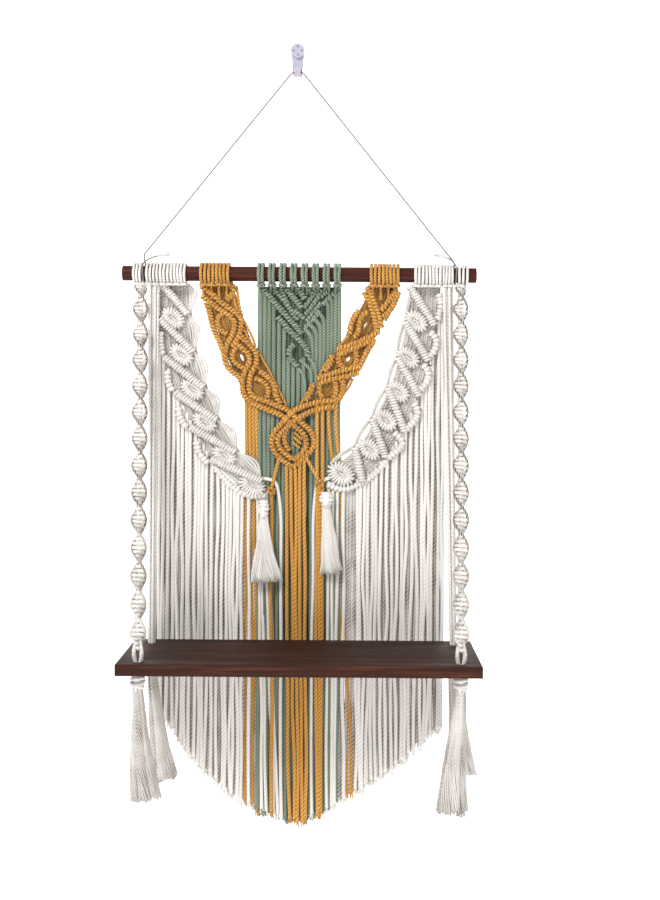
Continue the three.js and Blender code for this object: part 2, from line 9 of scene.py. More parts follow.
import bpy
import numpy as np
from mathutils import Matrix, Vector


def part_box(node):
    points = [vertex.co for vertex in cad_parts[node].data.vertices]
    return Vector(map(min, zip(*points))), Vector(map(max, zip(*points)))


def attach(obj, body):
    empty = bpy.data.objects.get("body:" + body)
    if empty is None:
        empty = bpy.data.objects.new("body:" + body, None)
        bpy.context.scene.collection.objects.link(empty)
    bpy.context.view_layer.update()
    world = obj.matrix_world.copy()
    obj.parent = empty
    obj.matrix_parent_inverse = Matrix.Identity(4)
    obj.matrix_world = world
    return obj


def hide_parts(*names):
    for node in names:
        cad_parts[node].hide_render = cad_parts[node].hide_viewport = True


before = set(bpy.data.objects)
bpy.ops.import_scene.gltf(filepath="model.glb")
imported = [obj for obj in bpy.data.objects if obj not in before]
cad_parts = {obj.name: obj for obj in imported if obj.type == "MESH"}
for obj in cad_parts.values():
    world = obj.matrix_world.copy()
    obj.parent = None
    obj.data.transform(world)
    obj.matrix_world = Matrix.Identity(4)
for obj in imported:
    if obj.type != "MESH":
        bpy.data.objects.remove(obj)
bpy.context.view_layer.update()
print("frame:", len(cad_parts), "nodes")

# %% [markdown]
# A camera can be placed by eye or worked out. This one is worked out: it stands where the photograph
# was taken from, a little above the middle of the object and to its right, level, and rolled by less
# than half a degree. Its focal length is the one at which as much of the shelf's top shows.

# %% Camera
MM = 0.001
PHOTO_WIDTH, PHOTO_HEIGHT = 660, 900
VIEW_AXIS_PIXEL = (342.4, 384.4)
FOCAL_PIXELS = 1199
CAMERA_PLACE_MM = (63.8, -1633.0, -439.9)
CAMERA_ROLL_DEGREES = 0.4

camera_data = bpy.data.cameras.new("camera")
camera_data.sensor_width = 36
camera_data.lens = FOCAL_PIXELS / PHOTO_HEIGHT * camera_data.sensor_width
camera_data.shift_x = (PHOTO_WIDTH / 2 - VIEW_AXIS_PIXEL[0]) / PHOTO_HEIGHT
camera_data.shift_y = (VIEW_AXIS_PIXEL[1] - PHOTO_HEIGHT / 2) / PHOTO_HEIGHT
camera = bpy.data.objects.new("camera", camera_data)
camera.location = [v * MM for v in CAMERA_PLACE_MM]
camera.rotation_euler = (math.pi / 2, -math.radians(CAMERA_ROLL_DEGREES), 0)
bpy.context.scene.collection.objects.link(camera)
bpy.context.scene.camera = camera
print("camera lens", round(camera_data.lens, 2), "mm")

# %% [markdown]
# Cotton cord is three plies twisted together. A curve with a round bevel would be the quick way, but
# it has no plies. So every cord is swept in mesh code: a section with three rounded plies is carried
# along a smooth line and turned once for each lay. Hundreds of cords have to cross, wrap and hang
# where the frame has them, and a skein collects the ones that become one piece.


# %% Lines that a cord can follow
def smooth_line(points, step):
    """Places in millimetres at equal steps along a smooth line through the points, and its length."""
    line = np.asarray(points, float)
    if len(line) > 2:
        ends = np.vstack([2 * line[0] - line[1], line, 2 * line[-1] - line[-2]])
        t = np.linspace(0, 1, 8, endpoint=False)[:, None]
        parts = [
            0.5 * (2 * b + (c - a) * t + (2 * a - 5 * b + 4 * c - d) * t**2 + (3 * b - a - 3 * c + d) * t**3)
            for a, b, c, d in zip(ends, ends[1:], ends[2:], ends[3:])
        ]
        line = np.vstack([*parts, line[-1:]])
    along = np.concatenate([[0], np.cumsum(np.linalg.norm(np.diff(line, axis=0), axis=1))])
    count = max(3, round(along[-1] / step) + 1)
    marks = np.linspace(0, along[-1], count)
    places = np.stack([np.interp(marks, along, line[:, k]) for k in range(3)], axis=1)
    return places, along[-1]


def unit(vectors):
    """The same directions, each of length one."""
    return vectors / np.maximum(np.linalg.norm(vectors, axis=-1, keepdims=True), 1e-9)


def carried_across(heading):
    """For a line with turns in every direction: a normal that is carried along it without twisting."""
    across = np.zeros_like(heading)
    normal = np.array((1.0, 0.0, 0.0))
    for k, way in enumerate(heading):
        normal = unit(normal - way * np.dot(normal, way))
        across[k] = normal
    return across


# %% The surface of one cord
rng = np.random.default_rng(11)
PLIES = 3
UV_MM = 10
FLARED_MM = 6


def swept(line, heading, across, size, turned, sides, groove):
    """The points of a cord's surface: a lobed ring at each place of the line, turned as it goes."""
    across = carried_across(heading) if across is None else np.asarray(across, float)
    side = unit(np.cross(heading, across))
    front = np.cross(heading, side)
    spoke = np.arange(sides) / sides * 2 * np.pi
    lobes = 1 - groove * (0.5 - 0.5 * np.cos(PLIES * spoke))
    angle = spoke[None, :] + (turned * 2 * np.pi)[:, None]
    reach = size[:, None] * lobes[None, :]
    ring = np.cos(angle)[..., None] * side[:, None, :] + np.sin(angle)[..., None] * front[:, None, :]
    return (line[:, None, :] + reach[..., None] * ring).reshape(-1, 3)


def wall_faces(rings, sides, closed):
    """The corners of the quads between the rings; a closed line comes round to its first ring."""
    i = np.arange(rings if closed else rings - 1)[:, None]
    j = np.arange(sides)[None, :]
    i_next = (i + 1) % rings
    j_next = (j + 1) % sides
    return np.stack([
        i * sides + j, i * sides + j_next, i_next * sides + j_next, i_next * sides + j,
    ], axis=-1).reshape(-1, 4)


def wall_uv(marks, sides, closed, wound):
    """U runs along the cord in cm, V once round it; V also winds where the section isn't turned."""
    u = marks / UV_MM
    i = np.arange(len(u) if closed else len(u) - 1)[:, None]
    j = np.arange(sides)[None, :]
    u_here = u[i] + 0 * j
    u_next = np.append(u, u[-1] + (u[1] - u[0]))[i + 1] + 0 * j
    phase = rng.random()
    v_here = phase + j / sides - u_here * wound
    v_next = phase + j / sides - u_next * wound
    return np.stack([
        np.stack([u_here, v_here], -1), np.stack([u_here, v_here + 1 / sides], -1),
        np.stack([u_next, v_next + 1 / sides], -1), np.stack([u_next, v_next], -1),
    ], axis=2).reshape(-1, 2)


# %% The skein: cords gathered into one mesh
class Skein:
    """Cords that are collected and then made into one piece."""

    def __init__(self):
        self.places = []
        self.corners = []
        self.sizes = []
        self.uvs = []
        self.tones = []
        self.count = 0

    def add_faces(self, corners, uv):
        """Adds faces that all have the same number of corners."""
        self.corners.append((corners + self.count).ravel())
        self.sizes.append(np.full(len(corners), corners.shape[1]))
        self.uvs.append(uv)

    def lay(self, points, radius, across, step=1.5, lay=15.0, sides=6, groove=0.18, closed=False,
            flare=0.0, shaded=0.0, shade_per_mm_behind=0.0):
        """Sweeps one cord along the points, in mm; across is a direction the line never takes, or None.

        With no groove the section stays round and unturned, and only the finish shows the plies. Painted
        shade darkens the cord as a whole by shaded, and more for each mm that it lies behind its own front."""
        if closed:
            line = np.asarray(points, float)
            loop_length = np.linalg.norm(np.roll(line, -1, axis=0) - line, axis=1).sum()
            marks = np.arange(len(line)) / len(line) * loop_length
            lay = loop_length / max(1, round(loop_length / lay))
            heading = unit(np.roll(line, -1, axis=0) - np.roll(line, 1, axis=0))
        else:
            line, length = smooth_line(points, step)
            marks = np.linspace(0, length, len(line))
            heading = unit(np.gradient(line, axis=0))
        size = np.full(len(line), float(radius))
        if flare:
            size = size * (1 + flare * np.clip((marks - marks[-1]) / FLARED_MM + 1, 0, 1) ** 2)
        turned = marks / lay if groove else marks * 0
        places = swept(line, heading, across, size, turned, sides, groove)
        self.places.append(places)
        wound = 0 if groove else UV_MM / lay
        self.add_faces(wall_faces(len(line), sides, closed), wall_uv(marks, sides, closed, wound))
        if not closed:
            ring = np.arange(sides)
            for cap, mark in ((ring[::-1], marks[0]), (len(places) - sides + ring, marks[-1])):
                uv = np.stack([np.full(sides, mark / UV_MM), ring / sides], axis=1)
                self.add_faces(cap[None, :], uv)
        # Painted shade: the parts of the cord that lie further back are darkened, as if the knot shaded them.
        behind = places[:, 1] - places[:, 1].min()
        self.tones.append(0.3 * rng.random() + shaded + shade_per_mm_behind * behind)
        self.count += len(places)

    def piece(self, name, material, slot, node=None):
        """Makes the cords one mesh object for a node, with a UV map, random tones and painted shade."""
        places = np.vstack(self.places) * MM
        corners = np.concatenate(self.corners)
        sizes = np.concatenate(self.sizes)
        mesh = bpy.data.meshes.new(name)
        mesh.vertices.add(len(places))
        mesh.vertices.foreach_set("co", places.ravel())
        mesh.loops.add(len(corners))
        mesh.loops.foreach_set("vertex_index", corners.astype(np.int32))
        mesh.polygons.add(len(sizes))
        starts = np.concatenate([[0], np.cumsum(sizes)[:-1]])
        mesh.polygons.foreach_set("loop_start", starts.astype(np.int32))
        mesh.update(calc_edges=True)
        mesh.uv_layers.new(name="cord").data.foreach_set("uv", np.vstack(self.uvs).ravel())
        tone_and_painted_shade = mesh.attributes.new("tone_and_painted_shade", "FLOAT", "POINT")
        tone_and_painted_shade.data.foreach_set("value", np.concatenate(self.tones))
        mesh.polygons.foreach_set("use_smooth", np.ones(len(sizes), bool))
        mesh.materials.append(material)
        mesh.validate()
        obj = bpy.data.objects.new(name, mesh)
        bpy.context.scene.collection.objects.link(obj)
        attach(obj, "root")
        if node:
            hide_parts(node)
        print(name, "has", int((sizes - 2).sum()), "triangles")
        return obj


# %% [markdown]
# The colours are read as sRGB hex values and turned linear by one function, and one small function
# adds each node. The cord is spun and twisted cotton: matt and a little fuzzy, so it has a high
# roughness and some sheen, painted shade in the grooves between the plies, and fine yarn lines along
# each ply. An image would repeat and blur. Waves on the cord's own UV map follow every bend.


# %% Helpers for materials
def colour(hex_value):
    """The linear RGBA of an sRGB hex colour."""
    parts = [int(hex_value[i:i + 2], 16) / 255 for i in (1, 3, 5)]
    linear = [p / 12.92 if p <= 0.04045 else ((p + 0.055) / 1.055) ** 2.4 for p in parts]
    return (*linear, 1.0)


def add_node(tree, kind, settings=None, inputs=None):
    """Adds one node with its settings; an input is a value or the socket that feeds it."""
    node = tree.nodes.new("ShaderNode" + kind)
    for key, value in (settings or {}).items():
        setattr(node, key, value)
    for key, value in (inputs or {}).items():
        if isinstance(value, bpy.types.NodeSocket):
            tree.links.new(value, node.inputs[key])
        else:
            node.inputs[key].default_value = value
    return node


def new_material(name, roughness, **sockets):
    """A Principled material with constants set on the shader's own sockets."""
    material = bpy.data.materials.new(name)
    material.use_nodes = True
    shader = material.node_tree.nodes["Principled BSDF"]
    shader.inputs["Roughness"].default_value = roughness
    for key, value in sockets.items():
        shader.inputs[key.replace("_", " ")].default_value = value
    return material, material.node_tree, shader


def blend_colours(tree, share, low, high):
    """Two colours mixed by a share from 0 to 1."""
    mix = add_node(tree, "Mix", {"data_type": "RGBA"}, {0: share, 6: low, 7: high})
    return mix.outputs[2]


# %% Cotton cord
# Real yarn lines are 0.3 mm apart. They are drawn at 1 mm, because finer ones would not show.
YARN_LINES_PER_TURN = 15
YARN_SLANT_PER_CM = 9
FUZZ_PER_MM = 0.9
DRIFT_PER_MM = 0.028


def cotton(name, crest, groove, shade, ply_relief=0.5):
    """Twisted cotton cord: light crests, painted shade in the ply grooves, fine yarn lines, soft sheen."""
    material, tree, shader = new_material(name, 0.92, Sheen_Weight=0.2, Sheen_Roughness=0.6)
    shader.inputs["Specular IOR Level"].default_value = 0.15
    uv = add_node(tree, "UVMap", {"uv_map": "cord"})
    split = add_node(tree, "SeparateXYZ", None, {0: uv.outputs["UV"]})
    ply = add_node(tree, "Math", {"operation": "MULTIPLY"}, {0: split.outputs["Y"], 1: PLIES * 2 * math.pi})
    crest_wave = add_node(tree, "Math", {"operation": "COSINE"}, {0: ply.outputs[0]})
    height = add_node(tree, "MapRange", None, {0: crest_wave.outputs[0], 1: -1.0, 2: 0.1})
    turn = add_node(tree, "Math", {"operation": "MULTIPLY"}, {
        0: split.outputs["Y"], 1: YARN_LINES_PER_TURN * 2 * math.pi,
    })
    slant = add_node(tree, "Math", {"operation": "MULTIPLY"}, {
        0: split.outputs["X"], 1: YARN_SLANT_PER_CM * 2 * math.pi,
    })
    phase = add_node(tree, "Math", {"operation": "ADD"}, {0: turn.outputs[0], 1: slant.outputs[0]})
    yarn = add_node(tree, "Math", {"operation": "SINE"}, {0: phase.outputs[0]})
    object_place = add_node(tree, "TexCoord").outputs["Object"]
    fuzz = add_node(tree, "TexNoise", None, {
        "Vector": object_place, "Scale": FUZZ_PER_MM / MM, "Detail": 3.0,
    })
    drift = add_node(tree, "TexNoise", None, {
        "Vector": object_place, "Scale": DRIFT_PER_MM / MM, "Detail": 2.0,
    })
    tone_and_painted_shade = add_node(tree, "Attribute", {"attribute_name": "tone_and_painted_shade"})
    # Painted shade: the cord's attribute, times a slow noise, blends the crest towards the shade colour. It
    # holds random tones per cord and the shade painted on it.
    tone_and_shade_share = add_node(tree, "Math", {"operation": "MULTIPLY", "use_clamp": True}, {
        0: drift.outputs[0], 1: tone_and_painted_shade.outputs["Fac"],
    })
    tone_and_shade_colour = blend_colours(tree, tone_and_shade_share.outputs[0], colour(crest), colour(shade))
    # Painted shade: the groove colour darkens the cord between the plies.
    plied = blend_colours(tree, height.outputs[0], colour(groove), tone_and_shade_colour)
    tree.links.new(plied, shader.inputs["Base Color"])
    fibre = add_node(tree, "Math", {"operation": "MULTIPLY_ADD"}, {
        0: yarn.outputs[0], 1: 0.2, 2: fuzz.outputs[0],
    })
    relief = add_node(tree, "Math", {"operation": "MULTIPLY_ADD"}, {
        0: crest_wave.outputs[0], 1: ply_relief, 2: fibre.outputs[0],
    })
    bump = add_node(tree, "Bump", None, {"Strength": 0.4, "Distance": 0.0005, "Height": relief.outputs[0]})
    tree.links.new(bump.outputs[0], shader.inputs["Normal"])
    return material


# The second colour is the painted shade in the ply grooves, the third the painted shade that the cord's
# attribute blends in.
white_cotton = cotton("white_cotton_cord", "#F6F2EE", "#E0D8CF", "#5F544A", ply_relief=0.15)
yellow_cotton = cotton("mustard_cotton_cord", "#E3A84D", "#8C5A1E", "#2A1505", ply_relief=0.35)
green_cotton = cotton("sage_cotton_cord", "#9AA892", "#42533F", "#202C22", ply_relief=0.8)
twine_cotton = cotton("hanging_twine", "#8E8B81", "#6A6860", "#6E6C64", ply_relief=0.6)
print("four cottons")

# %% [markdown]
# The frame measures a curtain place as x from the hook and drop below the rod's axis, so the tables
# here do too. The rod and the board come from the frame's own boxes.

# %% Places taken from the frame
rod_low, rod_high = (np.array(v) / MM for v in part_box("rod"))
ROD_RADIUS = (rod_high[2] - rod_low[2]) / 2
ROD_Y = (rod_low[1] + rod_high[1]) / 2
ROD_Z = (rod_low[2] + rod_high[2]) / 2
board_low, board_high = (np.array(v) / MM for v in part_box("shelf"))
BOARD_TOP = board_high[2]
BOARD_UNDER = board_low[2]
HOLE_FROM_END = 25
HOLE_FROM_EDGE = 21
HOLE_RADIUS = 6.5
HOLE_XS = (board_low[0] + HOLE_FROM_END, board_high[0] - HOLE_FROM_END)
HOLE_FRONT = board_low[1] + HOLE_FROM_EDGE
HOLE_BACK = board_high[1] - HOLE_FROM_EDGE
LAYER = {"green": -3.4, "white": -8.7, "yellow": -13.6}
INTO_WALL = (0, 1, 0)
ALONG_ROD = (1, 0, 0)
UP = (0, 0, 1)


def at(x, drop, y):
    """The place in mm of a point of the curtain."""
    return (x, y, ROD_Z - drop)


print("rod radius", round(ROD_RADIUS, 2), "mm, board top", round(BOARD_TOP, 1), "mm")

# %% [markdown]
# Hitches are turns of one cord round another. Seen from the front a row of them is a ridged bar, and
# bent into a ring it is a round knot with petals. So both are one helper: closed turns of cord, set
# side by side along a line, each leaning a little.


# %% Rows of hitches
TURN_POINTS = 14
# The last entry is painted shade for each mm that a turn lies behind its front.
HITCH = {"pitch": 4.3, "half_depth": 4.4, "lean": 0.2, "radius": 2.4, "groove": 0.1, "shade_per_mm_behind": 0.13}


def hitch_row(skein, points, half_width, ring=False, **how):
    """Turns of cord along a line that lies in the plane of the curtain."""
    form = {**HITCH, **how}
    radius = form["radius"]
    line, length = smooth_line(points, form["pitch"] / 4)
    turns = max(2, round(length / form["pitch"]))
    marks = (np.arange(turns) + (0 if ring else 0.5)) / turns * (len(line) - 1)
    heading = unit(np.gradient(line, axis=0))
    angle = np.arange(TURN_POINTS) / TURN_POINTS * 2 * np.pi
    for mark in marks:
        k = int(round(mark))
        along = heading[k]
        wide = np.cross(along, INTO_WALL)
        jitter = rng.uniform(-0.08, 0.08, 3)
        a = (half_width - radius) * (1 + jitter[0])
        b = (form["half_depth"] - radius) * (1 + jitter[1])
        shift = (form["lean"] + jitter[2]) * a
        loop = (
            line[k]
            + a * np.cos(angle)[:, None] * wide
            + b * np.sin(angle)[:, None] * np.array(INTO_WALL)
            + shift * np.cos(angle)[:, None] * along
        )
        skein.lay(loop, radius, along, closed=True, lay=14.0, groove=form["groove"], shade_per_mm_behind=form["shade_per_mm_behind"])
    skein.lay(points, min(half_width, form["half_depth"]) * 0.62, INTO_WALL, step=5.0, groove=0)


def leaf_knot(skein, x, drop, y, reach, slit=(3.0, 1.2), tilt=40, **how):
    """Hitches round a short slit show as petals; slit is its half length and half width."""
    half_width = (reach - slit[1]) / 2
    middle = (reach + slit[1]) / 2
    angle = np.linspace(0, 2 * np.pi, 25)
    slope = math.radians(tilt)
    along = (middle + slit[0]) * np.cos(angle)
    down = middle * np.sin(angle)
    xs = x + along * math.cos(slope) - down * math.sin(slope)
    drops = drop + along * math.sin(slope) + down * math.cos(slope)
    points = [at(px, pd, y) for px, pd in zip(xs, drops)]
    hitch_row(skein, points, half_width, ring=True, lean=0.0, **how)
    behind = 0.8 * slit[0] + 2
    ends = [
        at(x + way * behind * math.cos(slope), drop + way * behind * math.sin(slope), y + 1.5)
        for way in (-1, 1)
    ]
    skein.lay(ends, 2.2, INTO_WALL)


# %% [markdown]
# Each piece of the curtain is held on the rod by lark's head knots: a doubled cord goes round the rod
# and through its own bight. From the front only the loops and the short bights under them show, so
# these are laid as closed turns, and the rest of the knot is left out.


# %% Loops of cord over the rod
def rod_loops(skein, from_x, to_x, count, radius=2.2):
    """Lark's head loops: cords side by side round the rod, and the short bight under them."""
    reach = ROD_RADIUS + radius + 0.2
    angle = np.arange(24) / 24 * 2 * np.pi
    pitch = (to_x - from_x) / count
    for i in range(count):
        x = from_x + (i + 0.5) * pitch
        loop = np.stack([
            np.full_like(angle, x) + 0.4 * np.sin(angle + i),
            ROD_Y + reach * np.sin(angle),
            ROD_Z + reach * 1.04 * np.cos(angle),
        ], axis=1)
        skein.lay(loop, radius, ALONG_ROD, closed=True, lay=12.0, groove=0.24)
    for i in range(0, count - 1, 2):
        x = from_x + (i + 1) * pitch
        low = ROD_Z - reach
        bight = [
            (x - pitch * 0.8, ROD_Y + 4, low - 1.5), (x - pitch * 0.6, ROD_Y - 5.5, low - 2.2),
            (x + pitch * 0.6, ROD_Y - 5.5, low - 2.2), (x + pitch * 0.8, ROD_Y + 4, low - 1.5),
        ]
        skein.lay(bight, radius, UP)


# %% [markdown]
# Cut cords hang almost straight, but never quite: each wanders by a millimetre or two and opens a
# little at its cut end. Hair strands would do for a close fringe, but here each cord has its own root
# and colour, so each is laid by itself. The hem is a V with uneven ends.

# %% Hanging cords
HEM_X = [-192, -178, -154, -133, -95, -63, 0, 20, 45, 74, 105, 147, 182, 198]
HEM_DROP = [588, 597, 628, 656, 694, 718, 737, 735, 722, 704, 687, 658, 625, 610]
HEM_UNEVEN = 5


def hem_at(x):
    """How far below the rod a cord ends at x."""
    return np.interp(x, HEM_X, HEM_DROP) + rng.uniform(-HEM_UNEVEN, HEM_UNEVEN)


def fray(skein, place, radius):
    """A few loose yarns at a cut end."""
    for _ in range(4):
        spread = rng.uniform(-1, 1, 2) * radius * 1.1
        root = (place[0] + spread[0] * 0.3, place[1], place[2] + 4)
        end = (place[0] + spread[0], place[1] + spread[1] * 0.6, place[2] - rng.uniform(3.5, 8))
        skein.lay([root, end], 0.9, INTO_WALL, step=6.0, lay=9.0, sides=5, groove=0)


def hanging(skein, x, root, y, end_x=None, wander=1.5, radius=2.45, start=(), lay=17.0, shaded=0.0):
    """One cord that hangs from its root to the hem and frays there."""
    end_x = x if end_x is None else end_x
    end_drop = hem_at(end_x)
    stops = max(3, round((end_drop - root) / 75))
    points = list(start)
    for k in range(stops + 1):
        share = k / stops
        loose = wander * min(1, 3 * share)
        side = rng.uniform(-loose, loose)
        depth = rng.uniform(-0.4, 0.4) * loose
        points.append(at(x + (end_x - x) * share + side, root + (end_drop - root) * share, y + depth))
    skein.lay(points, radius, INTO_WALL, step=6.0, lay=lay, sides=8, groove=0, flare=0.15, shaded=shaded)
    fray(skein, points[-1], radius)


print("hem from", min(HEM_DROP), "to", max(HEM_DROP), "mm below the rod")

# %% [markdown]
# Each white band runs down from its heading in six steps: a long ridged bar, a round knot under it,
# a short ridged ear at the outer edge, and slack cords along the inner edge. Its fringe hangs from the
# outer edge in two layers, so that no light shows between the cords. One step could be copied down the
# band, but no two are alike here, so each has its own places in the table.

# %% White bands
# Rows of (x, drop) places. Edges are the outer and the inner edge of the knotted strip, inner is the
# line that the slack cords follow, and roots is the line that the fringe hangs from. A single cord is
# (x at its root, x at the hem), and a stray one is its places and its x at the hem. Loops, fringe and
# back are stretches in x.
WHITE_BANDS = {
    "white_band_left": {
        "loops": (-183, -146.5),
        "side": 1,
        "bows": (3, 7, 11),
        "fringe": (-189, -67),
        "back": (-188, -42),
        "singles": [(-62, -58.5), (-50, -40.5), (-46, -35.5), (-42, -24.5), (-38, -20)],
        "strays": [([(-44, 276), (-34, 277), (-24, 285), (-18, 330)], -15)],
        "bars": [
            [(-181, 14), (-146, 54)], [(-184, 61), (-138, 105)], [(-177, 113), (-124, 153)],
            [(-162, 160), (-106, 197)], [(-141, 207), (-80, 240)], [(-113, 250), (-44, 279)],
        ],
        "leaves": [(-166, 60), (-154, 109), (-139, 156), (-122, 200), (-95, 245), (-57, 285)],
        "ears": [
            [(-187, 27), (-188, 42), (-187, 57)], [(-182, 78), (-183, 94), (-180, 109)],
            [(-173, 131), (-172, 145), (-166, 158)], [(-158, 180), (-155, 194), (-146, 207)],
            [(-133, 226), (-129, 241), (-117, 256)],
        ],
        "inner": [(-146, 14), (-146, 54), (-138, 105), (-124, 153), (-106, 197), (-80, 240), (-46, 277)],
        "edges": [
            [(-184, 14), (-187, 60), (-181, 110), (-166, 158), (-144, 207), (-113, 250), (-62, 298)],
            [(-144, 14), (-141, 54), (-133, 105), (-119, 153), (-101, 197), (-75, 240), (-42, 277)],
        ],
        "hem_bar": [(-112, 254), (-101, 270), (-84, 288), (-62, 299), (-38, 300)],
        "roots": [
            (-188, 66), (-180, 104), (-172, 132), (-164, 158), (-150, 186), (-135, 216), (-118, 246),
            (-108, 262), (-98, 276), (-80, 290), (-58, 298), (-36, 296),
        ],
    },
    "white_band_right": {
        "loops": (159, 196.5),
        "side": -1,
        "bows": (0.5, 3),
        "fringe": (85, 204),
        "back": (58, 203),
        "singles": [(46, 46), (52, 51.5), (58, 56.5), (66, 68)],
        "strays": [([(48, 274), (38, 278), (30, 286), (26, 330)], 26)],
        "bars": [
            [(154, 15), (188, 67)], [(148, 63), (180, 115)], [(138, 111), (168, 163)],
            [(125, 152), (149, 211)], [(104, 194), (123, 246)], [(81, 233), (92, 279)],
        ],
        "leaves": [(163, 62), (152, 111), (139, 157), (123, 196), (101, 235), (63, 269)],
        "ears": [
            [(194, 24), (196, 42), (192, 60)], [(182, 76), (190, 86), (189, 99), (181, 110)],
            [(173, 120), (180, 131), (178, 144), (169, 155)],
            [(161, 172), (166, 185), (161, 197), (150, 208)],
            [(134, 212), (144, 222), (144, 232), (126, 247)],
        ],
        "inner": [(160, 14), (148, 60), (137, 110), (124, 150), (103, 193), (80, 232), (48, 256)],
        "edges": [
            [(196, 14), (193, 60), (184, 110), (172, 156), (152, 208), (128, 247), (88, 282)],
            [(154, 14), (151, 60), (141, 110), (129, 150), (109, 193), (86, 232), (52, 262)],
        ],
        "hem_bar": [(125, 250), (112, 266), (92, 281), (66, 290), (44, 284)],
        "roots": [
            (40, 280), (64, 286), (90, 280), (108, 268), (128, 244), (140, 226), (150, 206), (160, 186),
            (168, 166), (178, 140), (188, 104), (196, 40),
        ],
    },
}
CORD_GAPS = (4.7, 5.0, 7.4)
BACK_PITCH = 4.6
EYE_OPENING = 5.0
BAR = {"half_width": 6.2, "half_depth": 6.2, "lean": 0.15, "radius": 2.2, "pitch": 3.9}
EAR = {"half_width": 5.8, "half_depth": 5.8, "lean": 0.0, "radius": 2.9, "pitch": 5.6}
LEAF = {"slit": (5.5, 1.2), "tilt": 38, "half_depth": 5.2, "radius": 2.0, "pitch": 3.5, "shade_per_mm_behind": 0.08}
LEAF_REACH = 13.8
LAST_LEAF_REACH = 16
print(sum(len(form["leaves"]) for form in WHITE_BANDS.values()), "round knots")


def on_curtain(row, y):
    """The places in mm of a row of (x, drop)."""
    return [at(x, drop, y) for x, drop in row]


def slack_loops(skein, edge, side, y, bows):
    """Slack cords that bow out at the inner edge, from the end of one bar to the end of the next."""
    for upper, lower in zip(edge, edge[1:]):
        middle = ((upper[0] + lower[0]) / 2, (upper[1] + lower[1]) / 2)
        for k, bow in enumerate(bows):
            out = (middle[0] + side * bow, middle[1] - bow * 0.5)
            depth = y - 0.9 * k
            bowed = [at(*upper, depth), at(*out, depth), at(*lower, depth)]
            # The slack cords are painted a little in shade.
            skein.lay(bowed, 2.2, INTO_WALL, step=2.5, shaded=0.25)


def parted(points, eyes):
    """The same line, but passing each open eye at its rim."""
    for eye in np.array(eyes, float):
        off = points - eye
        far = np.linalg.norm(off, axis=1)[:, None]
        points = np.where(far < EYE_OPENING, eye + off / (far + 0.01) * EYE_OPENING, points)
    return points


def backing(skein, edges, y, count=13, shaded=1.0, eyes=()):
    """The working cords that run down behind the knots, between the two edges of a band, in painted shade."""
    outer, inner = (smooth_line([(x, drop, 0) for x, drop in edge], 3.0)[0][:, :2] for edge in edges)
    stations = np.linspace(0, 1, 60)
    outer, inner = (
        np.stack([np.interp(stations, np.linspace(0, 1, len(edge)), edge[:, k]) for k in (0, 1)], axis=1)
        for edge in (outer, inner)
    )
    for k in range(count):
        row = parted(outer + (inner - outer) * (k + 0.5) / count, eyes)
        skein.lay(on_curtain(row, y - 1.2 * (k % 2)), 2.5, INTO_WALL, step=4.0, shaded=shaded)


# %% White bands laid
def white_fringe(skein, form):
    """Hanging cords at uneven gaps over a close second layer, then single cords between the yellow ones."""
    root_x, root_drop = zip(*form["roots"])
    y = LAYER["white"]
    x, to_x = form["fringe"]
    while x < to_x:
        hanging(skein, x, np.interp(x, root_x, root_drop) - 5, y + rng.uniform(-1, 1), wander=2.2)
        x += rng.choice(CORD_GAPS) + rng.uniform(-0.3, 0.5)
    for x in np.arange(*form["back"], BACK_PITCH):
        # The second layer is painted in shade, darker than the cords in front.
        hanging(skein, x, np.interp(x, root_x, root_drop) - 5, LAYER["green"] - 0.6, shaded=1.1, wander=0.6)
    for root, end_x in form["singles"]:
        hanging(skein, root, np.interp(root, root_x, root_drop) - 3, y + 0.5, end_x)
    for places, end_x in form["strays"]:
        *start, last = places
        hanging(skein, *last, y - 1, end_x, start=on_curtain(start, y - 3))


def white_band(name, form):
    """The knotted strip, which stands for the solid, and the fringe that hangs from it."""
    knots = Skein()
    front = LAYER["white"] - 3.5
    rod_loops(knots, *form["loops"], 8, radius=2.4)
    backing(knots, form["edges"], LAYER["white"] + 2.5)
    for bar in form["bars"]:
        hitch_row(knots, on_curtain(bar, front - 1.5), **BAR)
    *upper, last = form["leaves"]
    for leaf in upper:
        leaf_knot(knots, *leaf, front + 1.5, LEAF_REACH, **LEAF)
    leaf_knot(knots, *last, front + 1.5, LAST_LEAF_REACH, **LEAF)
    for ear in form["ears"]:
        hitch_row(knots, on_curtain(ear, front - 0.5), **EAR)
    hitch_row(knots, on_curtain(form["hem_bar"], front + 2), 5.2, pitch=5.4, radius=2.8)
    slack_loops(knots, form["inner"], form["side"], front + 3, form["bows"])
    knots.piece(name + "_knots", white_cotton, "white_cord", name)
    fringe = Skein()
    white_fringe(fringe, form)
    fringe.piece(name + "_fringe", white_cotton, "white_cord")


for name, form in WHITE_BANDS.items():
    white_band(name, form)

# %% [markdown]
# The yellow chain is worked in pairs of hitch rows that run side by side, part round an eye and meet
# again. Two bands come down from their headings, cross in the middle and close round an open ring. Each
# row is one line of places here, and the same helper that made the white bars lays its turns.

